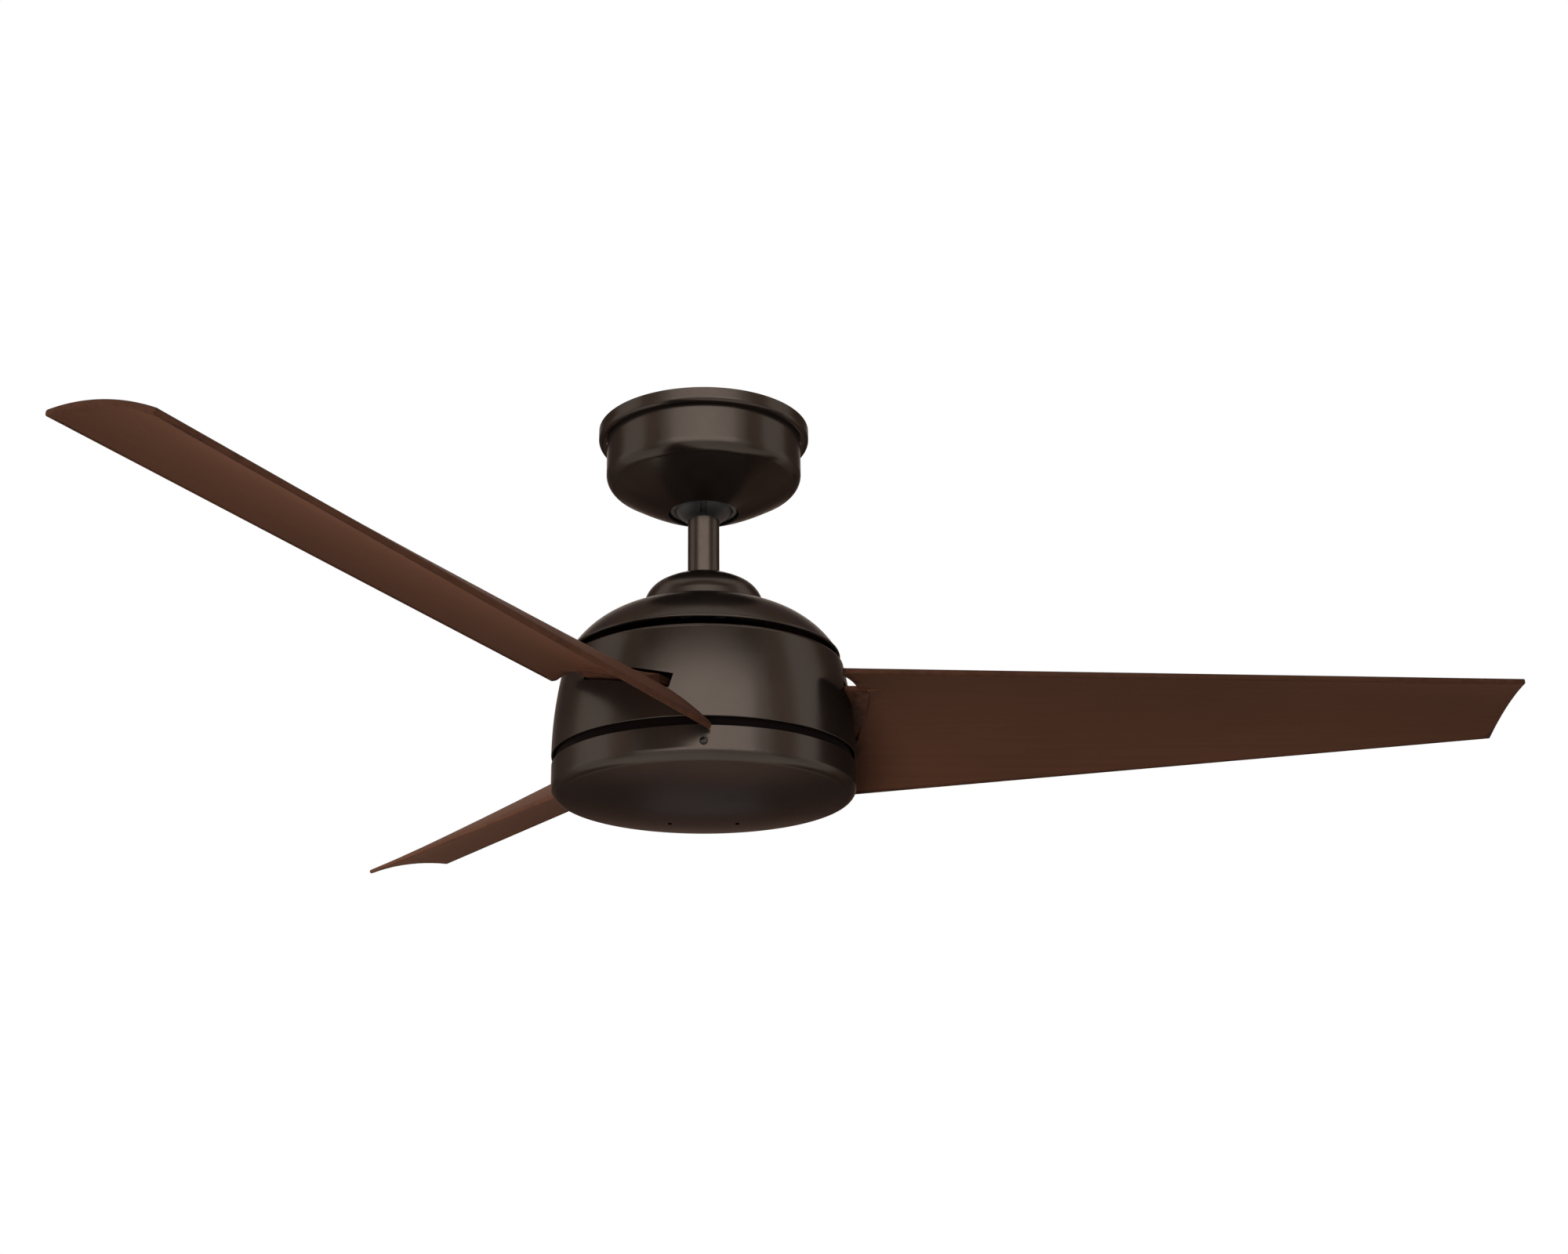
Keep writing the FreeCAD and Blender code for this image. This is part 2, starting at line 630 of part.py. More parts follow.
def on_tongue(shape):
    """Copies of a shape drawn about the middle of a hole, one at each screw of the tongue."""
    row = []
    for step in BLADE_SCREW_ROW:
        copy = shape.copy()
        copy.translate(V(BLADE_SCREW_X, step * BLADE_SCREW_STEP, 0))
        row.append(tilt(copy, SLOT_PITCH, TONGUE_Z))
    return row


def blade_screws():
    start = V(0, 0, -TONGUE_T / 2 - FIT)
    one = screw(UP, start, TONGUE_T + PAD_T, head_r=GROMMET_R + BLADE_HEAD_LEDGE)
    return [copy for row in on_tongue(one) for copy in around(row, BLADES)]


def blade_grommets():
    half = TONGUE_T / 2
    ring = tube(SCREW_R + FIT, GROMMET_R, -half, half)
    return [copy for row in on_tongue(ring) for copy in around(row, BLADES)]


def motor_band():
    drop = BAND_TOP - BAND_BOTTOM
    round_z = BAND_TOP - BAND_TOP_ROUND

    def radius(z):
        return BAND_BOTTOM_R - BAND_CURVE_R + math.sqrt(BAND_CURVE_R ** 2 - (z - BAND_BOTTOM) ** 2)

    mid_z = BAND_BOTTOM + drop / 2
    edge_r = radius(round_z)
    hem = (BAND_BOTTOM_R, BAND_BOTTOM + EDGE)
    hem_arc, hem_end = rounded(BAND_BOTTOM_R, BAND_BOTTOM, EDGE, -1)
    shell = turned(
        hem,
        ((radius(mid_z), mid_z), (edge_r, round_z)),
        rounded(edge_r, BAND_TOP, BAND_TOP_ROUND, 1),
        (BAND_HOLE_R, BAND_TOP),
        (BAND_HOLE_R, BAND_TOP - WALL),
        (edge_r - BAND_TOP_ROUND, BAND_TOP - WALL),
        (edge_r - WALL, round_z),
        ((radius(mid_z) - WALL, mid_z), (BAND_BOTTOM_R - WALL, BAND_BOTTOM)),
        hem_end,
        (hem_arc, hem),
    )
    half = SLOT_HEIGHT / 2
    slot = block(BAND_SEAT_R, BAND_BOTTOM_R + OVER, -SLOT_LEADING, SLOT_TRAILING, -half, half)
    shell = shell.cut(around(tilt(slot, SLOT_PITCH, SLOT_Z), BLADES))
    return shell.cut(band_bores()).removeSplitter()


def band_screws():
    start = V(BAND_SCREW_R, 0, BAND_TOP + FIT)
    return around(screw(UP * -1, start, WALL + BELL_T), BAND_SCREWS, BAND_SCREW_TURN)


def along(x, root, tip):
    """Value at a station of the blade, on the straight line from root to tip."""
    return root + (tip - root) * (x - ROOT_X) / (TIP_X - ROOT_X)


class Section:
    """Arched blade section across the blade at one station."""

    def __init__(self, x):
        self.x = x
        self.thick = along(x, BLADE_T_ROOT, BLADE_T_TIP)
        self.lead = V(x, along(x, LEAD_ROOT[0], LEAD_TIP[0]), along(x, LEAD_ROOT[1], LEAD_TIP[1]))
        self.trail = V(x, along(x, TRAIL_ROOT[0], TRAIL_TIP[0]), along(x, TRAIL_ROOT[1], TRAIL_TIP[1]))
        camber = along(x, CAMBER_ROOT, CAMBER_TIP)
        chord = self.trail - self.lead
        normal = V(0, -chord.z, chord.y).normalize()
        half = chord.Length / 2
        self.radius = (half ** 2 + camber ** 2) / (2 * camber)
        self.centre = (self.lead + self.trail) * 0.5 + normal * (camber - self.radius)
        self.normal = normal

    def on_arc(self, toward, lift):
        """Point on the arch in a given direction from its centre, lifted off the underside."""
        ray = (toward - self.centre).normalize()
        return self.centre + ray * (self.radius + lift)

    def at(self, y, lift):
        """Point on the arch at a distance y from the blade's axis."""
        reach = self.radius + lift
        rise = math.sqrt(reach ** 2 - (y - self.centre.y) ** 2)
        return V(self.x, y, self.centre.z + rise)

    def wire(self):
        """Closed outline with full round edges."""
        crest = self.centre + self.normal
        lead_top = self.on_arc(self.lead, self.thick)
        trail_top = self.on_arc(self.trail, self.thick)
        under = Part.Arc(self.lead, self.on_arc(crest, 0), self.trail)
        upper = Part.Arc(trail_top, self.on_arc(crest, self.thick), lead_top)
        trail_nose = self.nose(self.trail, trail_top, 1)
        lead_nose = self.nose(lead_top, self.lead, -1)
        return Part.Wire([edge.toShape() for edge in (under, trail_nose, upper, lead_nose)])

    def groove_ring(self, edge, other):
        """Small circle on the underside, just inside one edge."""
        toward = edge + (other - edge).normalize() * GROOVE_IN
        circle = Part.Circle(self.on_arc(toward, 0), V(1, 0, 0), GROOVE_R)
        return Part.Wire([circle.toShape()])

    def nose(self, first, last, side):
        across = last - first
        out = V(0, across.z, -across.y).normalize()
        if out.y * side < 0:
            out = out * -1
        return Part.Arc(first, (first + last) * 0.5 + out * (across.Length / 2), last)


def blade_plan():
    """Upright block with the blade's outline from above and rounded corners."""
    lead_spare = 0.7 * BLADE_T_ROOT
    trail_spare = 1.2 * BLADE_T_ROOT
    low = min(TRAIL_ROOT[1], TRAIL_TIP[1]) - CAMBER_ROOT
    high = max(LEAD_ROOT[1], LEAD_TIP[1]) + 2 * CAMBER_ROOT
    ends = (ROOT_R / 2, SWEEP_R + OVERRUN)
    corners = [V(x, along(x, LEAD_ROOT[0], LEAD_TIP[0]) - lead_spare, low) for x in ends]
    corners += [V(x, along(x, TRAIL_ROOT[0], TRAIL_TIP[0]) + trail_spare, low) for x in reversed(ends)]
    plan = Part.Face(Part.makePolygon(corners + [corners[0]])).extrude(V(0, 0, high - low))
    plan = plan.common(disc(SWEEP_R, low, high)).cut(disc(ROOT_R, low - OVER, high + OVER))
    for side, root_corner in ((-1, CORNER_LEADING), (1, CORNER_TRAILING)):
        for edge_r, r in ((SWEEP_R, CORNER_TIP), (ROOT_R, root_corner)):
            edges = [edge for edge in plan.Edges if is_upright(edge) and near_radius(edge, edge_r)]
            plan = plan.makeFillet(r, [edge for edge in edges if edge.CenterOfMass.y * side > 0])
    return plan


def is_upright(edge):
    return abs(edge.tangentAt(edge.FirstParameter).z) > 0.99


def near_radius(edge, r):
    middle = edge.CenterOfMass
    return abs(math.hypot(middle.x, middle.y) - r) < 1.0


def runs_round_tip(edge):
    """Whether an edge is one of the long ones round the blade's tip."""
    ends = [edge.valueAt(edge.FirstParameter), edge.valueAt(edge.LastParameter)]
    reach = [math.hypot(end.x, end.y) for end in ends + [edge.CenterOfMass]]
    return edge.Length > 4 * CORNER_TIP and min(reach) > SWEEP_R - 1.0


def blade_blend():
    """Web that carries the flat tongue over into the arched blade."""
    lead, trail = -TONGUE_LEADING + 2, TONGUE_TRAILING
    slope = math.tan(math.radians(SLOT_PITCH))
    top = TONGUE_T / 2 / math.cos(math.radians(SLOT_PITCH))
    inner = Section(ROOT_R - 2)
    outer = Section(BLEND_END)

    def tongue(y, side):
        return V(inner.x, y, TONGUE_Z - slope * y + side * top)

    def ring(a, b, c, d, e, upper):
        edges = [Part.Arc(a, b, c), Part.LineSegment(c, d), upper, Part.LineSegment(e, a)]
        return Part.Wire([edge.toShape() for edge in edges])

    low_in = [tongue(lead, -1), inner.at(0, BLEND_INSET), inner.at(trail, BLEND_INSET)]
    top_in = [tongue(trail, 1), tongue(lead, 1)]
    low_out = [outer.at(y, BLEND_INSET) for y in (lead, 0, trail)]
    depth = outer.thick - BLEND_INSET
    crest_out = outer.at((lead + trail) / 2, depth)
    top_out = [outer.at(y, depth) for y in (trail, lead)]
    start = ring(*low_in, *top_in, Part.LineSegment(*top_in))
    end = ring(*low_out, *top_out, Part.Arc(top_out[0], crest_out, top_out[1]))
    return Part.makeLoft([start, end], True, True)


def edge_grooves():
    """Cutters for the fine lines that set off both edges of a blade from its underside."""
    ends = (Section(GROOVE_START), Section(GROOVE_END))
    leading = [end.groove_ring(end.lead, end.trail) for end in ends]
    trailing = [end.groove_ring(end.trail, end.lead) for end in ends]
    return [Part.makeLoft(rings, True, True) for rings in (leading, trailing)]


def blade():
    skin = Part.makeLoft([Section(ROOT_R / 2).wire(), Section(SWEEP_R + OVERRUN).wire()], True, True)
    body = skin.common(blade_plan())
    body = body.makeFillet(TIP_EDGE, [edge for edge in body.Edges if runs_round_tip(edge)])
    body = body.cut(edge_grooves())
    half = TONGUE_T / 2
    tongue = block(TONGUE_END, ROOT_R + 2, -TONGUE_LEADING, TONGUE_TRAILING, -half, half)
    tongue = tongue.makeFillet(TONGUE_CORNER, [edge for edge in tongue.Edges if is_upright(edge)])
    tongue = tilt(tongue, SLOT_PITCH, TONGUE_Z)
    body = body.fuse(tongue.fuse(blade_blend()))
    for bore in on_tongue(disc(GROMMET_R + FIT, -2 * TONGUE_T, 2 * TONGUE_T)):
        body = body.cut(bore)
    return body


def cap_bores():
    start = V(CAP_R - 2 * CAP_SCREW_LENGTH, 0, CAP_TOP - CAP_SCREW_DROP)
    bore = rod_along(V(1, 0, 0), SCREW_R + FIT, start, 3 * CAP_SCREW_LENGTH)
    return around(bore, CAP_SCREWS, CAP_SCREW_TURN)


def switch_housing():
    outer = CAP_R - WALL - SEAT_GAP
    body = disc(outer, CAP_TOP - HOUSING_WALL_DROP, CAP_TOP)
    body = body.cut(disc(outer - 2 * WALL, CAP_TOP - HOUSING_WALL_DROP - OVER, CAP_TOP - 2 * WALL))
    baffle_r = CAP_R - BAFFLE_IN
    body = body.fuse(tube(baffle_r - WALL, baffle_r, CAP_TOP - WALL, CAP_TOP + BAFFLE_RISE))
    body = body.cut(disc(SHAFT_R + FIT, SHAFT_BOTTOM, CAP_TOP + OVER))
    return body.cut(cap_bores()).removeSplitter()


def shaft_nut():
    nut = hexagon(NUT_R, NUT_H)
    nut.translate(V(0, 0, CAP_TOP - 2 * WALL - NUT_H))
    return nut.cut(disc(SHAFT_R + FIT, SHAFT_BOTTOM - OVER, CAP_TOP))


def run_capacitor():
    length, width, height = CAPACITOR
    top = CAP_TOP - 2 * WALL
    body = block(-length / 2, length / 2, CAPACITOR_Y - width / 2, CAPACITOR_Y + width / 2, top - height, top)
    upright = [edge for edge in body.Edges if is_upright(edge)]
    return body.makeFillet(CAPACITOR_ROUND, upright)


def capacitor_clip():
    width, height = CAPACITOR[1:]
    top = CAP_TOP - 2 * WALL
    near = CAPACITOR_Y - width / 2 - FIT
    far = CAPACITOR_Y + width / 2 + FIT
    low = top - height - FIT
    half = CLIP_FOOT / 2
    strap = block(-half, half, near - CLIP_T, far + CLIP_T, low - CLIP_T, top)
    strap = strap.cut(block(-half - OVER, half + OVER, near, far, low, top + OVER))
    feet = block(-half, half, near - CLIP_FOOT, far + CLIP_FOOT, top - CLIP_T, top)
    feet = feet.cut(block(-half - OVER, half + OVER, near, far, top - 2 * CLIP_T, top + OVER))
    return strap.fuse(feet).removeSplitter()


def bottom_cap():
    wall_in = CAP_R - WALL
    wall_z = CAP_TOP - CAP_WALL
    corner = (CAP_R - CAP_CORNER[0], wall_z - CAP_CORNER[1])
    floor = (CAP_R - CAP_FLOOR[0], wall_z - CAP_FLOOR[1])
    dish_r = (floor[0] ** 2 + CAP_DISH ** 2) / (2 * CAP_DISH)
    dish_z = floor[1] - CAP_DISH + dish_r

    def on_dish(r, lift):
        return (r, dish_z - math.sqrt((dish_r - lift) ** 2 - r ** 2))

    brim = (CAP_R, CAP_TOP - EDGE)
    brim_arc, brim_end = rounded(CAP_R, CAP_TOP, EDGE, 1)
    shell = turned(
        brim,
        (CAP_R, wall_z),
        (corner, floor),
        (on_dish(floor[0] / 2, 0), (0, dish_z - dish_r)),
        (0, dish_z - dish_r + WALL),
        (on_dish(floor[0] / 2, WALL), on_dish(floor[0], WALL)),
        (inside(corner, 41), (wall_in, wall_z)),
        (wall_in, CAP_TOP),
        brim_end,
        (brim_arc, brim),
    )
    dimple_at = V(CAP_R - CAP_DIMPLE_DEPTH, 0, CAP_TOP - CAP_SCREW_DROP)
    dimple = rod_along(V(1, 0, 0), CAP_DIMPLE_R, dimple_at, CAP_SCREW_LENGTH)
    shell = shell.cut(around(dimple, CAP_SCREWS, CAP_SCREW_TURN)).cut(cap_bores())
    return shell.cut([drain_slot(-DRAIN_X), drain_slot(DRAIN_X)])


def drain_slot(x):
    """Upright cutter for one drain slot in the cap's floor."""
    half = DRAIN_LENGTH / 2 - DRAIN_R
    low = CAP_TOP - CAP_WALL - CAP_FLOOR[1] - CAP_DISH - OVER
    high = CAP_TOP - CAP_WALL
    return slot_cutter(x, DRAIN_Y, DRAIN_R, half, low, high)


def cap_screws():
    start = V(CAP_R - CAP_DIMPLE_DEPTH + FIT, 0, CAP_TOP - CAP_SCREW_DROP)
    one = screw(V(-1, 0, 0), start, CAP_SCREW_LENGTH, head_r=CAP_HEAD_R, head_h=CAP_HEAD_H)
    return around(one, CAP_SCREWS, CAP_SCREW_TURN)


os.makedirs("parts", exist_ok=True)

# Fixed to the ceiling
save("hanger_bracket", hanger_bracket())
save("canopy", canopy())
save("canopy_trim_ring", canopy_trim_ring())
save("canopy_screws", *canopy_screws())

# Hung from the ball
save("hanger_ball", hanger_ball())
save("hanger_pin", hanger_pin())
save("ball_set_screw", ball_set_screw())
save("downrod", downrod())
save("motor_coupling", motor_coupling())
save("coupling_pin", coupling_pin())
save("cotter_pin", cotter_pin())
save("coupling_set_screws", *coupling_set_screws())
save("coupling_cover", coupling_cover())
save("upper_housing", upper_housing())
save("housing_screws", *housing_screws())
save("motor_shaft", motor_shaft())
save("upper_spacer", on_shaft(UPPER_BEARING_Z + BEARING_WIDTH, HOUSING_TOP))
save("lower_spacer", on_shaft(CAP_TOP, LOWER_BEARING_Z))
for name, low in (("upper", UPPER_BEARING_Z), ("lower", LOWER_BEARING_Z)):
    save(name + "_bearing_inner", on_shaft(low, low + BEARING_WIDTH))
save("stator_core", stator_core())
save("stator_windings", *stator_windings())
save("switch_housing", switch_housing())
save("shaft_nut", shaft_nut())
save("run_capacitor", run_capacitor())
save("capacitor_clip", capacitor_clip())
save("bottom_cap", bottom_cap())
save("cap_screws", *cap_screws())

# Turning with the blades
save("rotor_upper_bell", rotor_upper_bell())
save("rotor_lower_bell", rotor_lower_bell())
save("rotor_ring", rotor_ring())
save("rotor_bolts", *rotor_bolts())
for name, low in (("upper", UPPER_BEARING_Z), ("lower", LOWER_BEARING_Z)):
    save(name + "_bearing_outer", tube(BEARING_OUTER_R, BEARING_OD_R, low, low + BEARING_WIDTH))
    save(name + "_bearing_balls", *bearing_balls(low))
save("blade_carrier", blade_carrier())
save("motor_band", motor_band())
save("band_screws", *band_screws())
for index, copy in enumerate(around(blade(), BLADES)):
    save("blade_%d" % (index + 1), copy)
save("blade_screws", *blade_screws())
save("blade_grommets", *blade_grommets())
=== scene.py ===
import logging
import math
from dataclasses import dataclass, field
from enum import Enum
from functools import cached_property

import bmesh
import bpy
from mathutils import Euler, Matrix, Vector


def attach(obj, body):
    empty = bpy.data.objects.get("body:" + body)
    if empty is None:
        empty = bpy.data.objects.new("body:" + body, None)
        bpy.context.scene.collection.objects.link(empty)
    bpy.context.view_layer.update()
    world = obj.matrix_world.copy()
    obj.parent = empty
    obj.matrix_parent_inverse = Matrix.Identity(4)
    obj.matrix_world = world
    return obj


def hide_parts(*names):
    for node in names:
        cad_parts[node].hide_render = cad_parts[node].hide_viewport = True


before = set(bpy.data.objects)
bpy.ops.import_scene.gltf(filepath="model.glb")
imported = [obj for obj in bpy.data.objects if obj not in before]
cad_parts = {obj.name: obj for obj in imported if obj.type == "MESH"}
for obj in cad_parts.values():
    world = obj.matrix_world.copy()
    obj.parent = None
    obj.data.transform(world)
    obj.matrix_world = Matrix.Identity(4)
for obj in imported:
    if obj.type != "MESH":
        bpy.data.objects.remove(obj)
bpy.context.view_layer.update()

LOG = logging.getLogger("ceiling_fan")

Colour = tuple[float, float, float, float]
Place = tuple[float, float, float]
Names = tuple[str, ...]
Material = bpy.types.Material
Socket = bpy.types.NodeSocket

# Sockets of a Mix node that mixes colours.
MIX_SHARE, MIX_FIRST, MIX_SECOND, MIX_RESULT = 0, 6, 7, 2
# Depths of surface relief, in metres.
FINE_RELIEF = 0.0002
COARSE_RELIEF = 0.0003


def tint(red: int, green: int, blue: int) -> Colour:
    """Turns a display colour into the linear values that shaders take.

    Args:
        red: Red, 0 to 255.
        green: Green, 0 to 255.
        blue: Blue, 0 to 255.

    Returns:
        Linear red, green and blue, and full opacity.
    """
    def linear(value: float) -> float:
        """Linear value of one display channel."""
        return value / 12.92 if value <= 0.04045 else ((value + 0.055) / 1.055) ** 2.4

    return linear(red / 255), linear(green / 255), linear(blue / 255), 1.0


PAINT_DUST = tint(122, 116, 108)
LACQUER_DUST = tint(120, 108, 98)
BRIGHT_METAL = tint(214, 212, 206)
# Display levels between the light and the deep parts of a panel's weave.
WEAVE_DEPTH = 10
# Linear tint of the bronze paint's reflections at grazing angles.
GRAZING_TINT: Colour = (0.3, 0.26, 0.24, 1.0)


class Lay(Enum):
    """Direction in which a metal's working marks run."""

    TURNED = "rings about the fan's axis"
    STACKED = "level layers"
    CAST = "no direction"


# How a noise is stretched to run in the direction of the marks.
LAY_SCALE: dict[Lay, Place] = {Lay.TURNED: (0.05, 0.05, 1.0), Lay.STACKED: (0.02, 0.02, 1.0)}


class Board:
    """A node tree with short calls to add and join nodes."""

    def __init__(self, tree: bpy.types.NodeTree) -> None:
        """Keeps the tree that nodes are added to."""
        self.tree = tree

    def add(self, kind: str, **settings: object) -> bpy.types.Node:
        """Adds a node.

        Args:
            kind: Node type without its ShaderNode prefix.
            **settings: Properties and inputs, as in fit.

        Returns:
            The new node.
        """
        node = self.tree.nodes.new(kind if kind.startswith("Node") else "ShaderNode" + kind)
        self.fit(node, **settings)
        return node

    def fit(self, node: bpy.types.Node, **settings: object) -> None:
        """Sets a node's properties and inputs.

        Args:
            node: Node to set.
            **settings: Properties by name, or inputs by name with _ for spaces.
        """
        for name, value in settings.items():
            if hasattr(node, name):
                setattr(node, name, value)
            else:
                self.feed(value, node.inputs[name.replace("_", " ")])

    def feed(self, value: object, target: Socket) -> None:
        """Gives an input its value.

        Args:
            value: Socket to link, or a number, vector or colour.
            target: The input.
        """
        if isinstance(value, Socket):
            self.tree.links.new(value, target)
        else:
            target.default_value = value

    def maths(self, operation: str, first: object, second: object, clamp: bool = False) -> Socket:
        """Adds a Math node.

        Args:
            operation: Name of the operation.
            first: Socket or number.
            second: Socket or number.
            clamp: Whether the result stays between 0 and 1.

        Returns:
            The result's socket.
        """
        node = self.add("Math", operation=operation, use_clamp=clamp)
        self.feed(first, node.inputs[0])
        self.feed(second, node.inputs[1])
        return node.outputs[0]

    def span(self, value: Socket, low: float, high: float,
             start: object = 0.0, end: object = 1.0) -> Socket:
        """Maps start..end of a value to low..high.

        Args:
            value: Socket to map.
            low: Result at start.
            high: Result at end.
            start: Socket or number that gives low.
            end: Socket or number that gives high.

        Returns:
            The mapped value's socket.
        """
        node = self.add("MapRange", Value=value, From_Min=start, From_Max=end,
                        To_Min=low, To_Max=high)
        return node.outputs["Result"]

    def blend(self, share: Socket, first: object, second: object) -> Socket:
        """Mixes two colours.

        Args:
            share: Share of the second colour.
            first: Colour or socket.
            second: Colour or socket.

        Returns:
            The mixed colour's socket.
        """
        node = self.add("Mix", data_type="RGBA")
        for value, index in ((share, MIX_SHARE), (first, MIX_FIRST), (second, MIX_SECOND)):
            self.feed(value, node.inputs[index])
        return node.outputs[MIX_RESULT]

    def here(self) -> Socket:
        """Place on the object, in metres."""
        return self.add("TexCoord").outputs["Object"]


class Effects:
    """Shared surface effects, each a node group that is built on its first use."""

    def start(self, name: str, inputs: dict[str, float],
              outputs: Names) -> tuple[Board, bpy.types.bpy_prop_collection, bpy.types.Node]:
        """Starts an empty group.

        Args:
            name: Name of the group.
            inputs: Number inputs and their usual values.
            outputs: Names of the number outputs.

        Returns:
            The board, the input sockets by name and the node that takes the outputs.
        """
        tree = bpy.data.node_groups.new(name, "ShaderNodeTree")
        kind = "NodeSocketFloat"
        for label, usual in inputs.items():
            socket = tree.interface.new_socket(label, in_out="INPUT", socket_type=kind)
            socket.default_value = usual
        for label in outputs:
            tree.interface.new_socket(label, in_out="OUTPUT", socket_type=kind)
        board = Board(tree)
        return board, board.add("NodeGroupInput").outputs, board.add("NodeGroupOutput")

    @cached_property
    def mottle(self) -> bpy.types.NodeTree:
        """Group of soft clouds and fine specks over a surface.

        Returns:
            The group. It takes the scales of both and gives both and the specks' height.
        """
        usual = {"Cloud": 9.0, "Speck": 1400.0}
        board, take, give = self.start("mottle", usual, ("Clouds", "Specks", "Height"))
        cloud = board.add("TexNoise", Vector=board.here(), Scale=take["Cloud"],
                          Detail=3.0, Roughness=0.55).outputs[0]
        speck = board.add("TexNoise", Vector=board.here(), Scale=take["Speck"],
                          Detail=1.0, Roughness=0.5).outputs[0]
        board.fit(give, Clouds=board.span(cloud, 0.0, 1.0, start=0.3, end=0.7),
                  Specks=board.span(speck, 0.0, 1.0, start=0.32, end=0.68), Height=speck)
        return board.tree

    @cached_property
    def edge_wear_and_shade(self) -> bpy.types.NodeTree:
        """Group that finds raised edges, in patches, for edge wear and for painted shade on blade
        edges.

        Returns:
            The group. It takes the sharpness where the mask starts and where it is full.
        """
        board, take, give = self.start("edge_wear_and_shade", {"Start": 0.53, "Full": 0.62}, ("Rubbed",))
        pointy = board.add("NewGeometry").outputs["Pointiness"]
        band = board.span(pointy, 0.0, 1.0, start=take["Start"], end=take["Full"])
        broken = board.add("TexNoise", Vector=board.here(), Scale=160.0, Detail=4.0).outputs[0]
        patchy = board.span(broken, 0.25, 1.0, start=0.35, end=0.65)
        board.fit(give, Rubbed=board.maths("MULTIPLY", band, patchy, clamp=True))
        return board.tree

    @cached_property
    def settled_dust(self) -> bpy.types.NodeTree:
        """Group that finds upward faces, where dust settles in patches.

        Returns:
            The group. It takes the largest share of dust and gives the share at each place.
        """
        board, take, give = self.start("settled_dust", {"Amount": 0.2}, ("Dust",))
        facing = board.add("TexCoord").outputs["Normal"]
        rise = board.add("SeparateXYZ", Vector=facing).outputs["Z"]
        upward = board.span(rise, 0.0, 1.0, start=0.55, end=1.0)
        patches = board.add("TexNoise", Vector=board.here(), Scale=22.0,
                            Detail=5.0, Roughness=0.62).outputs[0]
        patchy = board.span(patches, 0.3, 1.0, start=0.35, end=0.7)
        share = board.maths("MULTIPLY", upward, patchy)
        board.fit(give, Dust=board.maths("MULTIPLY", share, take["Amount"], clamp=True))
        return board.tree

    def place(self, board: Board, tree: bpy.types.NodeTree,
              **values: float) -> bpy.types.bpy_prop_collection:
        """Places a group in a material.

        Args:
            board: The material's board.
            tree: The group.
            **values: Values of its inputs.

        Returns:
            The group's output sockets by name.
        """
        return board.add("Group", node_tree=tree, **values).outputs


EFFECTS = Effects()


def new_material(name: str) -> tuple[Material, Board, bpy.types.Node]:
    """Makes a material that holds only a Principled shader.

    Args:
        name: Name of the material.

    Returns:
        The material, its board and its shader.
    """
    material = bpy.data.materials.new(name)
    material.use_nodes = True
    board = Board(material.node_tree)
    shader = next(node for node in board.tree.nodes if node.type == "BSDF_PRINCIPLED")
    return material, board, shader


def emboss(board: Board, shader: bpy.types.Node, height: Socket,
           strength: float, depth: float) -> None:
    """Feeds a height to the shader's normal.

    Args:
        board: The material's board.
        shader: Its Principled shader.
        height: Height of the surface.
        strength: Strength of the relief.
        depth: Depth of the relief in metres.
    """
    bump = board.add("Bump", Strength=strength, Distance=depth, Height=height)
    board.fit(shader, Normal=bump.outputs["Normal"])


@dataclass(frozen=True)
class BronzePaint:
    """Satin paint with fine metal flakes, rubbed a little at its edges."""

    name: str
    deep: Colour
    light: Colour
    rubbed: Colour
    metallic: float = 0.85
    smooth: float = 0.2
    rough: float = 0.26
    rub: float = 0.06
    dust: float = 0.06
    cloud: float = 11.0
    cloud_share: float = 0.45
    flake: float = 2600.0
    flake_share: float = 0.55
    relief: float = 0.06

    def material(self) -> Material:
        """Builds the material.

        Returns:
            The material, named as this finish.
        """
        material, board, shader = new_material(self.name)
        mottle = EFFECTS.place(board, EFFECTS.mottle, Cloud=self.cloud, Speck=self.flake)
        edges = EFFECTS.place(board, EFFECTS.edge_wear_and_shade)
        dusty = EFFECTS.place(board, EFFECTS.settled_dust, Amount=self.dust)
        flakes = board.maths("MULTIPLY", mottle["Specks"], self.flake_share)
        clouds = board.maths("MULTIPLY", mottle["Clouds"], self.cloud_share)
        shade = board.maths("ADD", flakes, clouds, clamp=True)
        body = board.blend(shade, self.deep, self.light)
        worn = board.maths("MULTIPLY", edges["Rubbed"], self.rub)
        body = board.blend(worn, body, self.rubbed)
        board.fit(shader, Base_Color=board.blend(dusty["Dust"], body, PAINT_DUST),
                  Roughness=board.span(mottle["Clouds"], self.smooth, self.rough),
                  Metallic=self.metallic, Specular_Tint=GRAZING_TINT)
        emboss(board, shader, mottle["Height"], self.relief, FINE_RELIEF)
        return material


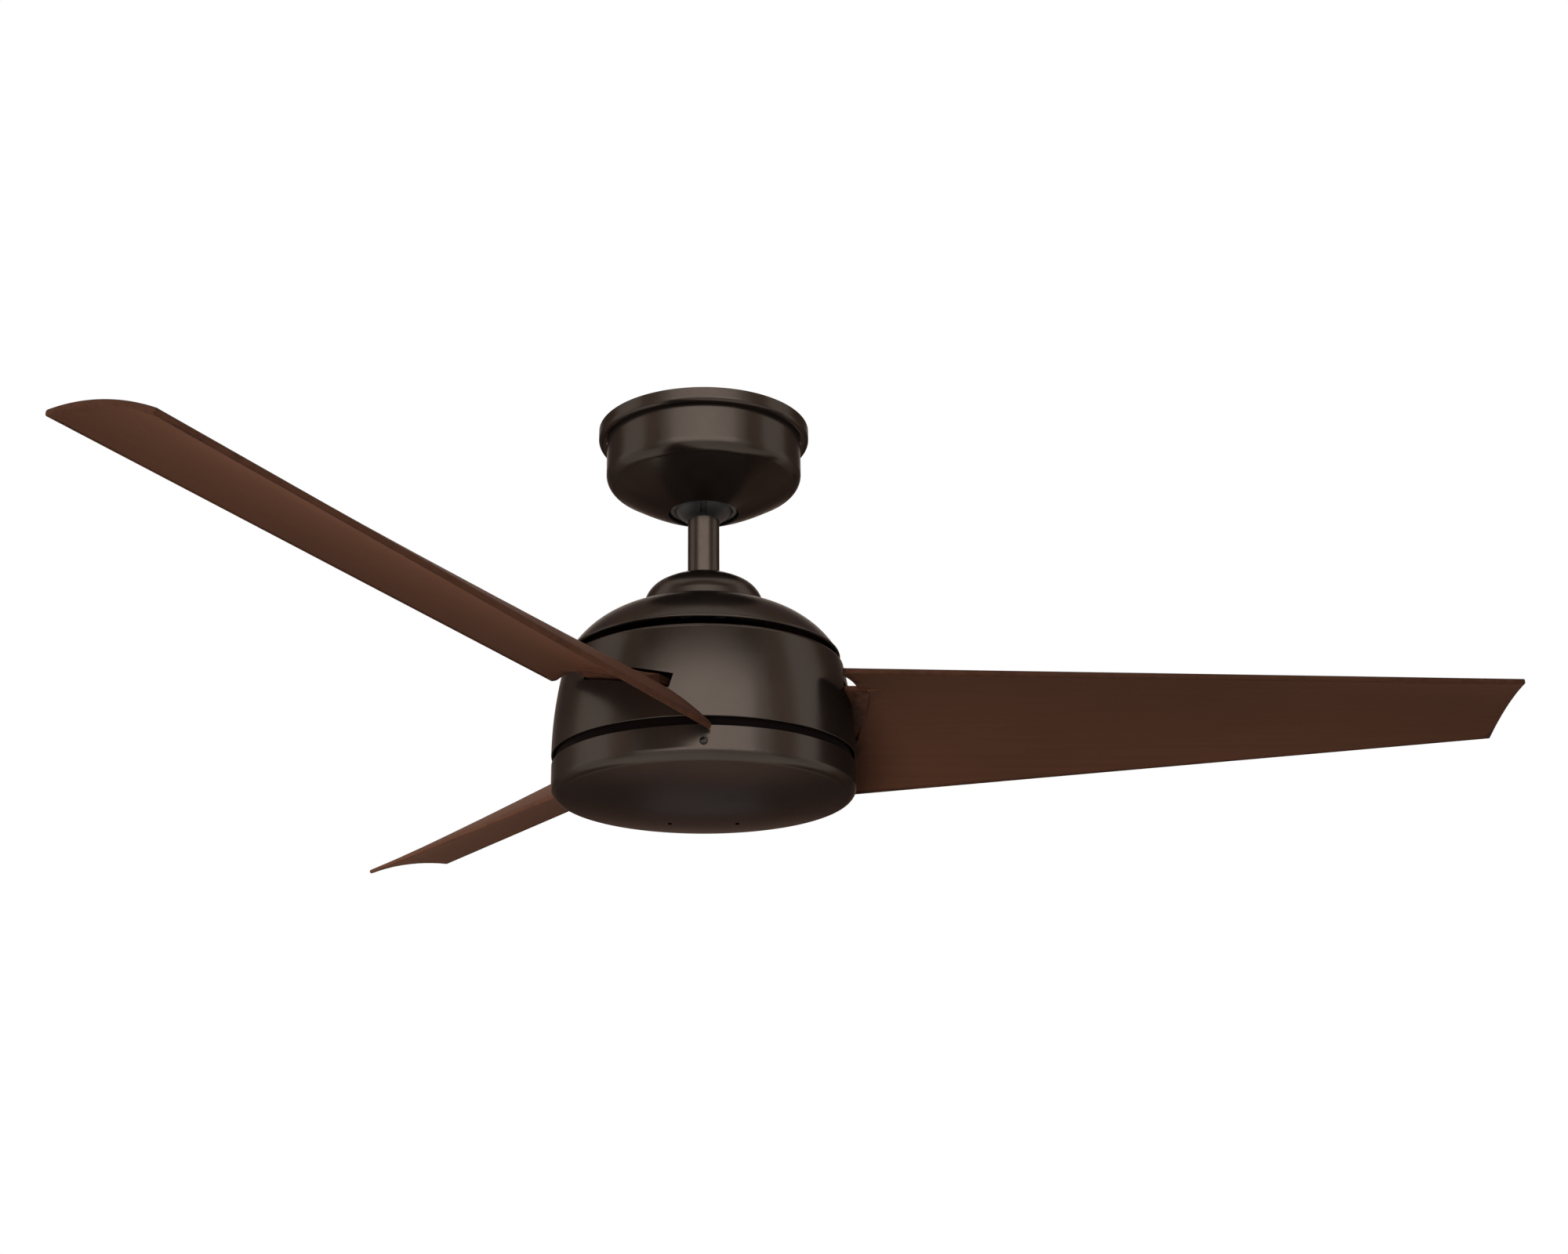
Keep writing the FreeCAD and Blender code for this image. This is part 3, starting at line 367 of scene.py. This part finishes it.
@dataclass(frozen=True)
class BladeLacquer:
    """Satin lacquer with faint streaks along a blade, and painted shade that darkens its rounded
    edges.
    """

    name: str
    deep: Colour
    light: Colour
    # Colour of the painted shade on the rounded edges.
    edge: Colour
    turn: float
    smooth: float = 0.55
    rough: float = 0.68
    roughest_streak: float = 0.6
    cloud: float = 7.0
    cloud_share: float = 0.4
    speck: float = 1900.0
    edge_start: float = 0.505
    edge_full: float = 0.55
    edge_share: float = 0.9
    dust: float = 0.03
    streak: float = 9.0
    streak_low: float = 0.1
    streak_high: float = 0.45
    streak_scale: Place = (1.0, 0.03, 0.03)
    shine: float = 0.05
    relief: float = 0.1

    def material(self) -> Material:
        """Builds the material.

        Returns:
            The material, named as this finish.
        """
        material, board, shader = new_material(self.name)
        mottle = EFFECTS.place(board, EFFECTS.mottle, Cloud=self.cloud, Speck=self.speck)
        edges = EFFECTS.place(board, EFFECTS.edge_wear_and_shade, Start=self.edge_start, Full=self.edge_full)
        dusty = EFFECTS.place(board, EFFECTS.settled_dust, Amount=self.dust)
        lay = board.add("Mapping", vector_type="TEXTURE", Vector=board.here(),
                        Rotation=(0.0, 0.0, self.turn), Scale=self.streak_scale)
        streaks = board.add("TexNoise", Vector=lay.outputs[0], Scale=self.streak,
                            Detail=5.0, Roughness=0.6, Distortion=0.4).outputs[0]
        streaky = board.span(streaks, self.streak_low, self.streak_high, start=0.35, end=0.65)
        clouds = board.maths("MULTIPLY", mottle["Clouds"], self.cloud_share)
        shade = board.maths("ADD", streaky, clouds, clamp=True)
        body = board.blend(shade, self.deep, self.light)
        # Painted shade: the rounded edges are darkened towards the edge colour.
        darker = board.maths("MULTIPLY", edges["Rubbed"], self.edge_share)
        body = board.blend(darker, body, self.edge)
        rough = board.span(streaky, self.smooth, self.rough, end=self.roughest_streak)
        board.fit(shader, Base_Color=board.blend(dusty["Dust"], body, LACQUER_DUST),
                  Roughness=rough, Specular_IOR_Level=self.shine)
        height = board.maths("ADD", mottle["Height"], streaks)
        emboss(board, shader, height, self.relief, COARSE_RELIEF)
        return material


@dataclass(frozen=True)
class BareMetal:
    """Metal with the marks of how it was worked."""

    name: str
    deep: Colour
    light: Colour
    lay: Lay
    pitch: float
    smooth: float
    rough: float
    relief: float = 0.25
    rub: float = 0.4
    cloud: float = 40.0
    mark_share: float = 0.5
    stain_share: float = 0.5

    def material(self) -> Material:
        """Builds the material.

        Returns:
            The material, named as this finish.
        """
        material, board, shader = new_material(self.name)
        mottle = EFFECTS.place(board, EFFECTS.mottle, Cloud=self.cloud, Speck=self.pitch)
        edges = EFFECTS.place(board, EFFECTS.edge_wear_and_shade)
        marks = mottle["Specks"]
        if self.lay in LAY_SCALE:
            along = board.add("Mapping", Vector=board.here(), Scale=LAY_SCALE[self.lay])
            lines = board.add("TexNoise", Vector=along.outputs[0], Scale=self.pitch, Detail=2.0)
            marks = board.span(lines.outputs[0], 0.0, 1.0, start=0.36, end=0.64)
        stain = board.maths("MULTIPLY", mottle["Clouds"], self.stain_share)
        worked = board.maths("MULTIPLY", marks, self.mark_share)
        shade = board.maths("ADD", worked, stain, clamp=True)
        body = board.blend(shade, self.deep, self.light)
        worn = board.maths("MULTIPLY", edges["Rubbed"], self.rub)
        board.fit(shader, Base_Color=board.blend(worn, body, BRIGHT_METAL),
                  Roughness=board.span(marks, self.smooth, self.rough), Metallic=1.0)
        emboss(board, shader, marks, self.relief, FINE_RELIEF)
        return material


@dataclass(frozen=True)
class Moulded:
    """Finely textured finish without metal, such as plastic, rubber, matt paint or cloth."""

    name: str
    deep: Colour
    light: Colour
    smooth: float
    rough: float
    grain: float = 1500.0
    relief: float = 0.25
    shine: float = 0.5
    rub: float = 0.5
    cloud: float = 30.0

    def material(self) -> Material:
        """Builds the material.

        Returns:
            The material, named as this finish.
        """
        material, board, shader = new_material(self.name)
        mottle = EFFECTS.place(board, EFFECTS.mottle, Cloud=self.cloud, Speck=self.grain)
        edges = EFFECTS.place(board, EFFECTS.edge_wear_and_shade)
        shade = board.maths("MULTIPLY", mottle["Clouds"], mottle["Specks"])
        body = board.blend(shade, self.deep, self.light)
        worn = board.maths("MULTIPLY", edges["Rubbed"], self.rub)
        board.fit(shader, Base_Color=board.blend(worn, body, self.light),
                  Roughness=board.span(mottle["Specks"], self.smooth, self.rough),
                  Specular_IOR_Level=self.shine)
        emboss(board, shader, mottle["Height"], self.relief, COARSE_RELIEF)
        return material


BRONZE = BronzePaint("dark_bronze_paint", tint(63, 55, 50), tint(79, 70, 64), tint(118, 98, 84))
BLACKENED = BronzePaint("blackened_screws", tint(38, 34, 31), tint(58, 53, 48),
                        tint(120, 112, 104), rub=0.3)
BLACK_ZINC = BareMetal("black_zinc_plate", tint(52, 50, 48), tint(78, 75, 71), Lay.CAST,
                       pitch=260.0, smooth=0.38, rough=0.52, rub=0.05)
ZINC = BareMetal("zinc_plate", tint(148, 150, 148), tint(196, 198, 194), Lay.CAST,
                 pitch=260.0, smooth=0.3, rough=0.48)
GROUND = BareMetal("ground_steel", tint(150, 151, 153), tint(205, 206, 208), Lay.TURNED,
                   pitch=900.0, smooth=0.18, rough=0.34)
LAMINATED = BareMetal("lamination_stack", tint(60, 61, 64), tint(128, 129, 132), Lay.STACKED,
                      pitch=2200.0, smooth=0.35, rough=0.6, relief=0.6)
COPPER = BareMetal("enamelled_copper", tint(132, 66, 32), tint(206, 122, 74), Lay.STACKED,
                   pitch=1500.0, smooth=0.25, rough=0.45, relief=0.8)
NYLON = Moulded("black_nylon", tint(26, 26, 24), tint(60, 60, 60), smooth=0.34, rough=0.5)
MATT_BLACK = Moulded("matt_black_paint", tint(10, 6, 5), tint(16, 11, 9),
                     smooth=0.7, rough=0.85, shine=0.05)
RUBBER = Moulded("grommet_rubber", tint(22, 22, 22), tint(44, 43, 42), smooth=0.7, rough=0.9)
CAPACITOR_CASE = Moulded("capacitor_case", tint(24, 24, 26), tint(52, 52, 54),
                         smooth=0.2, rough=0.3)


def new_object(name: str, data: bpy.types.ID) -> bpy.types.Object:
    """Makes an object and links it to the scene.

    Args:
        name: Name of the object.
        data: Its mesh, lamp or camera.

    Returns:
        The object.
    """
    made = bpy.data.objects.new(name, data)
    bpy.context.scene.collection.objects.link(made)
    return made


def finished_mesh(shape: bmesh.types.BMesh, name: str) -> bpy.types.Mesh:
    """Turns a working mesh into a mesh with outward faces and frees it.

    Args:
        shape: The working mesh.
        name: Name of the mesh.

    Returns:
        The mesh.
    """
    bmesh.ops.recalc_face_normals(shape, faces=shape.faces)
    mesh = bpy.data.meshes.new(name)
    shape.to_mesh(mesh)
    shape.free()
    return mesh


def sheet_mesh(name: str, size: tuple[float, float], height: float = 0.0) -> bpy.types.Mesh:
    """Makes a level rectangle centred on the Z axis.

    Args:
        name: Name of the mesh.
        size: Its sides along X and Y.
        height: Its height.

    Returns:
        The mesh, with one face.
    """
    x, y = size[0] / 2, size[1] / 2
    shape = bmesh.new()
    corners = ((-x, -y), (x, -y), (x, y), (-x, y))
    shape.faces.new([shape.verts.new((*corner, height)) for corner in corners])
    return finished_mesh(shape, name)


def turned_mesh(name: str, outline: list[tuple[float, float]], steps: int) -> bpy.types.Mesh:
    """Turns an outline about the Z axis.

    Args:
        name: Name of the mesh.
        outline: Radius and height pairs from axis to axis.
        steps: Faces round the axis.

    Returns:
        The closed mesh.
    """
    shape = bmesh.new()
    angles = [2 * math.pi * k / steps for k in range(steps)]
    rows = []
    for radius, height in outline:
        turns = angles if radius else [0.0]
        rows.append([shape.verts.new((radius * math.cos(a), radius * math.sin(a), height))
                     for a in turns])
    for first, second in zip(rows, rows[1:]):
        for k in range(steps):
            after = (k + 1) % steps
            ring = [first[k % len(first)], first[after % len(first)],
                    second[after % len(second)], second[k % len(second)]]
            shape.faces.new(list(dict.fromkeys(ring)))
    return finished_mesh(shape, name)


@dataclass(frozen=True)
class CrossHead:
    """Pan head screw with a cross recess, drawn head up on the origin.

    The first four sizes are in metres. The point is a share of the shank's radius. The rim and
    the recess's floor and top are shares of the head's height, its reach and half width are
    shares of the head's radius, and its taper is the share that is left at its floor. Edges
    that bend by more than sharp, in radians, are not smoothed.
    """

    shank_r: float
    length: float
    head_r: float
    head_h: float
    steps: int = 40
    crown_steps: int = 8
    rim: float = 0.35
    point: float = 0.6
    recess_reach: float = 0.58
    recess_half: float = 0.13
    recess_floor: float = 0.2
    recess_top: float = 1.2
    recess_taper: float = 0.55
    sharp: float = 0.6

    def outline(self) -> list[tuple[float, float]]:
        """Half outline of the screw, from the tip of its shank to the top of its head.

        Returns:
            Radius and height pairs.
        """
        turns = [math.pi / 2 * k / self.crown_steps for k in range(self.crown_steps)]
        crown = [(self.head_r * math.cos(a),
                  self.head_h * (self.rim + (1.0 - self.rim) * math.sin(a))) for a in turns]
        taper = self.point * self.shank_r
        shank = [(0.0, -self.length), (taper, -self.length), (self.shank_r, taper - self.length),
                 (self.shank_r, 0.0), (self.head_r, 0.0)]
        return shank + crown + [(0.0, self.head_h)]

    def mesh(self, name: str) -> bpy.types.Mesh:
        """Builds the screw's mesh.

        Args:
            name: Name of the mesh.

        Returns:
            The mesh, with its recess cut, smooth apart from its sharp edges.
        """
        body = new_object(name, turned_mesh(name, self.outline(), self.steps))
        cutter = new_object(name + "_recess", self.recess_mesh(name + "_recess"))
        cut = body.modifiers.new("recess", "BOOLEAN")
        cut.object = cutter
        cut.operation = "DIFFERENCE"
        cut.solver = "EXACT"
        bpy.context.view_layer.update()
        graph = bpy.context.evaluated_depsgraph_get()
        made = bpy.data.meshes.new_from_object(body.evaluated_get(graph))
        for part in (body, cutter):
            bpy.data.objects.remove(part)
        made.shade_smooth()
        made.set_sharp_from_angle(angle=self.sharp)
        return made

    def recess_mesh(self, name: str) -> bpy.types.Mesh:
        """Builds the tapered cross that is cut out of the head.

        Args:
            name: Name of the mesh.

        Returns:
            The closed mesh.
        """
        reach, half = self.recess_reach * self.head_r, self.recess_half * self.head_r
        corners = [(half, half), (half, reach), (-half, reach),
                   (-half, half), (-reach, half), (-reach, -half),
                   (-half, -half), (-half, -reach), (half, -reach),
                   (half, -half), (reach, -half), (reach, half)]
        floor, top = self.recess_floor * self.head_h, self.recess_top * self.head_h
        shape = bmesh.new()
        low = [shape.verts.new((self.recess_taper * x, self.recess_taper * y, floor))
               for x, y in corners]
        high = [shape.verts.new((x, y, top)) for x, y in corners]
        shape.faces.new(low[::-1])
        shape.faces.new(high)
        for k in range(len(corners)):
            after = (k + 1) % len(corners)
            shape.faces.new((low[k], low[after], high[after], high[k]))
        return finished_mesh(shape, name)


def dress(nodes: Names, material: Material) -> None:
    """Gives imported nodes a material.

    Args:
        nodes: Names of the nodes.
        material: Material for all their faces.
    """
    for name in nodes:
        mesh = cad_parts[name].data
        mesh.materials.clear()
        mesh.materials.append(material)
        LOG.info("%s: %s", name, material.name)


@dataclass
class ScrewSet:
    """Detailed screws that stand for a packed set of screws."""

    node: str
    body: str
    slot: str
    screw: CrossHead
    seats: list[Matrix]

    def build(self, material: Material) -> None:
        """Places the screws on their seats.

        Args:
            material: Finish of the screws.
        """
        mesh = self.screw.mesh(self.node)
        mesh.materials.append(material)
        for index, seat in enumerate(self.seats):
            piece = new_object("%s_%d" % (self.node, index + 1), mesh)
            piece.matrix_world = seat
            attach(piece, self.body)
            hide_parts(self.node)
            LOG.info("%s rides on %s", piece.name, self.body)


def side_seats(radius: float, height: float, degrees: tuple[float, ...]) -> list[Matrix]:
    """Seats for screws that point at the fan's axis.

    Args:
        radius: Distance of the heads' undersides from the axis.
        height: Height of the screws.
        degrees: Directions of the screws about the axis.

    Returns:
        One placement for each screw.
    """
    seat = Matrix.Translation((radius, 0.0, height)) @ Matrix.Rotation(math.pi / 2, 4, "Y")
    return [Matrix.Rotation(math.radians(turn), 4, "Z") @ seat for turn in degrees]


@dataclass
class CeilingMount:
    """Bracket, canopy and trim ring that stay on the ceiling."""

    shell: Names = ("canopy", "canopy_trim_ring")
    plated: Names = ("hanger_bracket",)
    screw_r: float = 0.08325
    screw_z: float = -0.007
    screw_turns: tuple[float, ...] = (90.0, 270.0)
    screw: CrossHead = CrossHead(shank_r=0.002, length=0.009, head_r=0.0036, head_h=0.0022)

    def build(self, paint: Material, dark: Material) -> None:
        """Dresses the shell and the bracket and places the canopy screws.

        Args:
            paint: Bronze paint.
            dark: Finish of the screws.
        """
        dress(self.shell, paint)
        dress(self.plated, BLACK_ZINC.material())
        seats = side_seats(self.screw_r, self.screw_z, self.screw_turns)
        ScrewSet("canopy_screws", "mount", "dark_screw", self.screw, seats).build(dark)


@dataclass
class Hanger:
    """Ball, rod and coupling that the motor hangs from."""

    painted: Names = ("downrod", "coupling_cover")
    plated: Names = ("hanger_pin", "motor_coupling", "coupling_pin", "cotter_pin")
    screws: Names = ("ball_set_screw", "coupling_set_screws")
    ball: Names = ("hanger_ball",)

    def build(self, paint: Material, plate: Material, dark: Material) -> None:
        """Dresses the rod, the cover, the ball and their pins.

        Args:
            paint: Bronze paint.
            plate: Zinc plating.
            dark: Finish of the screws.
        """
        dress(self.painted, paint)
        dress(self.plated, plate)
        dress(self.screws, dark)
        dress(self.ball, NYLON.material())


@dataclass
class Housing:
    """Painted shells round the motor and the cap below them."""

    shells: Names = ("upper_housing", "motor_band", "bottom_cap")
    blacked: Names = ("switch_housing",)
    screws: Names = ("housing_screws", "band_screws")
    cap_screw_r: float = 0.12325
    cap_screw_z: float = -0.3122
    cap_screw_turns: tuple[float, ...] = (-90.0, 30.0, 150.0)
    cap_screw: CrossHead = CrossHead(shank_r=0.002, length=0.008, head_r=0.0032, head_h=0.0016)

    def build(self, paint: Material, black: Material, dark: Material) -> None:
        """Dresses the shells and places the cap screws.

        Args:
            paint: Bronze paint.
            black: Matt black paint.
            dark: Finish of the screws.
        """
        dress(self.shells, paint)
        dress(self.blacked, black)
        dress(self.screws, dark)
        seats = side_seats(self.cap_screw_r, self.cap_screw_z, self.cap_screw_turns)
        ScrewSet("cap_screws", "hanger", "dark_screw", self.cap_screw, seats).build(dark)


@dataclass
class Motor:
    """Shaft, bearings, stator and rotor inside the housing."""

    ground: Names = (
        "motor_shaft", "upper_spacer", "lower_spacer", "shaft_nut",
        "upper_bearing_inner", "lower_bearing_inner",
        "upper_bearing_outer", "lower_bearing_outer",
        "upper_bearing_balls", "lower_bearing_balls",
    )
    cast: Names = ("rotor_upper_bell", "rotor_lower_bell", "blade_carrier")
    stacked: Names = ("stator_core", "rotor_ring")
    wound: Names = ("stator_windings",)
    screws: Names = ("rotor_bolts",)
    capacitor: Names = ("run_capacitor",)
    clip: Names = ("capacitor_clip",)

    def build(self, black: Material, plate: Material, dark: Material) -> None:
        """Dresses the motor's pieces.

        Args:
            black: Matt black paint.
            plate: Zinc plating.
            dark: Finish of the screws.
        """
        dress(self.ground, GROUND.material())
        dress(self.cast, black)
        dress(self.stacked, LAMINATED.material())
        dress(self.wound, COPPER.material())
        dress(self.screws, dark)
        dress(self.capacitor, CAPACITOR_CASE.material())
        dress(self.clip, plate)


@dataclass
class BladeSet:
    """Arched blades with their screws and grommets."""

    blades: Names = ("blade_1", "blade_2", "blade_3")
    screws: Names = ("blade_screws",)
    grommets: Names = ("blade_grommets",)
    deep: Colour = tint(76, 48, 35)
    light: Colour = tint(89, 57, 42)
    # Painted shade for the blades' rounded edges.
    edge: Colour = tint(46, 28, 22)

    def build(self, dark: Material) -> None:
        """Gives each blade a lacquer whose streaks run along it.

        Args:
            dark: Finish of the screws.
        """
        for index, name in enumerate(self.blades):
            turn = 2 * math.pi * index / len(self.blades)
            lacquer = BladeLacquer("%s_lacquer" % name, self.deep, self.light, self.edge, turn)
            dress((name,), lacquer.material())
        dress(self.screws, dark)
        dress(self.grommets, RUBBER.material())


def facing(place: Place, aim: Vector) -> Euler:
    """Rotation that turns the underside of a lamp or panel to a point.

    Args:
        place: Where the lamp or panel stands.
        aim: Point to turn to.

    Returns:
        The rotation.
    """
    return (aim - Vector(place)).to_track_quat("-Z", "Y").to_euler()


@dataclass(frozen=True)
class Softbox:
    """Large area lamp that looks at the fan or down at the floor."""

    name: str
    place: Place
    size: tuple[float, float]
    watts: float
    reflected: bool = True
    lights: bool = True
    looks_down: bool = False

    def build(self, aim: Vector) -> None:
        """Makes the lamp.

        Args:
            aim: Point that the lamp looks at, unless it looks down.
        """
        data = bpy.data.lights.new(self.name, "AREA")
        data.shape = "RECTANGLE"
        data.size, data.size_y = self.size
        data.energy = self.watts
        lamp = new_object(self.name, data)
        lamp.visible_camera = False
        lamp.visible_glossy = self.reflected
        lamp.visible_diffuse = self.lights
        lamp.location = self.place
        if not self.looks_down:
            lamp.rotation_euler = facing(self.place, aim)


class Cloth(Enum):
    """Display colour of a studio panel's cloth."""

    PALE = (236, 226, 218)
    BROWN = (184, 166, 154)
    DARK = (126, 104, 94)

    def material(self) -> Material:
        """Builds the cloth's finish, with a weave that is a little deeper in places.

        Returns:
            The material, named after the cloth.
        """
        deep = tint(*(channel - WEAVE_DEPTH for channel in self.value))
        name = "%s_cloth" % self.name.lower()
        return Moulded(name, deep, tint(*self.value), smooth=0.9, rough=1.0).material()


@dataclass(frozen=True)
class Flag:
    """Studio panel that only reflections show."""

    name: str
    place: Place
    size: tuple[float, float]
    cloth: Cloth = Cloth.BROWN

    def build(self, aim: Vector, material: Material) -> None:
        """Makes the panel.

        Args:
            aim: Point that the panel faces.
            material: Its cloth.
        """
        panel = new_object(self.name, sheet_mesh(self.name, self.size))
        panel.location = self.place
        panel.rotation_euler = facing(self.place, aim)
        panel.data.materials.append(material)
        panel.visible_camera = False
        panel.visible_diffuse = False
        panel.visible_shadow = False


@dataclass
class Studio:
    """Floor, light, background and camera.

    Lengths are in metres and the camera's pitch is in degrees. Its lens and sensor are in
    millimetres, and its shift is a share of the sensor's width.
    """

    aim: Vector = field(default_factory=lambda: Vector((0.0, 0.0, -0.2)))
    floor_z: float = -3.0
    floor_size: tuple[float, float] = (1200.0, 1200.0)
    floor_deep: Colour = tint(141, 140, 138)
    floor_light: Colour = tint(142, 141, 139)
    floor_cloud: float = 0.8
    floor_speck: float = 60.0
    floor_rough: float = 0.8
    floor_glow: float = 2.3
    ambient: float = 0.2
    camera_place: Place = (0.0, -1.574068, -0.737939)
    camera_pitch: float = 18.93
    camera_lens: float = 45.918
    camera_sensor: float = 36.0
    camera_shift: tuple[float, float] = (0.05125, 0.015)
    lamps: tuple[Softbox, ...] = (
        Softbox("front_softbox", (0.0, -3.1, 0.46), (4.6, 2.4), 47.0, lights=False),
        Softbox("front_low_softbox", (-1.0, -3.0, -1.2), (1.6, 1.6), 72.0, reflected=False),
        Softbox("back_left_softbox", (-2.9, 1.9, -0.35), (1.6, 1.6), 195.0, reflected=False),
        Softbox("back_right_softbox", (2.9, 1.9, -0.35), (1.6, 1.6), 158.0, reflected=False),
        Softbox("top_softbox", (0.0, 0.3, 3.0), (4.0, 4.0), 45.0, reflected=False,
                looks_down=True),
    )
    flags: tuple[Flag, ...] = (
        Flag("front_left_flag", (-2.95, -1.65, 0.6), (1.3, 5.0)),
        Flag("front_right_flag", (2.95, -1.65, 0.6), (1.3, 5.0)),
        Flag("back_left_flag", (-1.9, 3.4, 0.3), (3.8, 6.5)),
        Flag("back_right_flag", (1.9, 3.4, 0.3), (3.8, 6.5)),
        Flag("side_left_flag", (-2.95, 1.85, 0.3), (1.5, 5.0)),
        Flag("side_right_flag", (2.95, 1.85, 0.3), (1.5, 5.0)),
        Flag("back_low_flag", (0.0, 3.0, -0.4), (7.6, 1.3), Cloth.DARK),
        Flag("low_left_flag", (-1.3, 1.2, -1.85), (1.3, 1.3), Cloth.DARK),
        Flag("low_right_flag", (1.3, 1.2, -1.85), (1.3, 1.3), Cloth.DARK),
        Flag("front_top_flag", (0.0, -1.9, 2.1), (4.6, 1.0), Cloth.DARK),
        Flag("top_flag", (0.0, 2.2, 2.6), (5.0, 5.0), Cloth.PALE),
    )

    def build(self) -> None:
        """Builds the whole studio."""
        self.make_camera()
        self.make_floor()
        self.make_world()
        for lamp in self.lamps:
            lamp.build(self.aim)
        cloths = {cloth: cloth.material() for cloth in Cloth}
        for flag in self.flags:
            flag.build(self.aim, cloths[flag.cloth])
        bpy.context.scene.view_settings.view_transform = "Standard"

    def make_camera(self) -> None:
        """Puts the camera where the photograph was taken from."""
        data = bpy.data.cameras.new("viewpoint")
        data.sensor_fit = "HORIZONTAL"
        data.sensor_width = self.camera_sensor
        data.lens = self.camera_lens
        data.shift_x, data.shift_y = self.camera_shift
        camera = new_object("viewpoint", data)
        camera.location = self.camera_place
        camera.rotation_euler = (math.radians(90.0 + self.camera_pitch), 0.0, 0.0)
        bpy.context.scene.camera = camera

    def make_floor(self) -> None:
        """Lays a plain pale floor far below the fan."""
        floor = new_object("floor", sheet_mesh("floor", self.floor_size, self.floor_z))
        material, board, shader = new_material("pale_floor")
        mottle = EFFECTS.place(board, EFFECTS.mottle, Cloud=self.floor_cloud,
                               Speck=self.floor_speck)
        colour = board.blend(mottle["Clouds"], self.floor_deep, self.floor_light)
        glow = board.span(self.plainly_seen(board), 0.0, self.floor_glow)
        board.fit(shader, Base_Color=colour, Emission_Color=colour, Emission_Strength=glow,
                  Roughness=self.floor_rough)
        floor.data.materials.append(material)

    def plainly_seen(self, board: Board) -> Socket:
        """Tells rays that show the background from rays that only bring light.

        Args:
            board: Board of the floor or the world.

        Returns:
            Socket that gives 1 to the camera, reflections and glass, and else 0.
        """
        rays = board.add("LightPath").outputs
        seen = board.maths("MAXIMUM", rays["Is Camera Ray"], rays["Is Glossy Ray"])
        return board.maths("MAXIMUM", seen, rays["Is Transmission Ray"])

    def make_world(self) -> None:
        """Makes a white background that lights the fan only softly."""
        world = bpy.data.worlds.new("studio")
        world.use_nodes = True
        bpy.context.scene.world = world
        board = Board(world.node_tree)
        board.tree.nodes.clear()
        strength = board.span(self.plainly_seen(board), self.ambient, 1.0)
        back = board.add("Background", Color=(1.0, 1.0, 1.0, 1.0), Strength=strength)
        board.add("OutputWorld", Surface=back.outputs[0])


def main() -> None:
    """Builds the studio and dresses the fan."""
    logging.basicConfig(level=logging.INFO, format="%(name)s: %(message)s")
    Studio().build()
    finishes = (BRONZE, ZINC, MATT_BLACK, BLACKENED)
    paint, plate, black, dark = (finish.material() for finish in finishes)
    CeilingMount().build(paint, dark)
    Hanger().build(paint, plate, dark)
    Housing().build(paint, black, dark)
    Motor().build(black, plate, dark)
    BladeSet().build(dark)


if __name__ == "__main__":
    main()
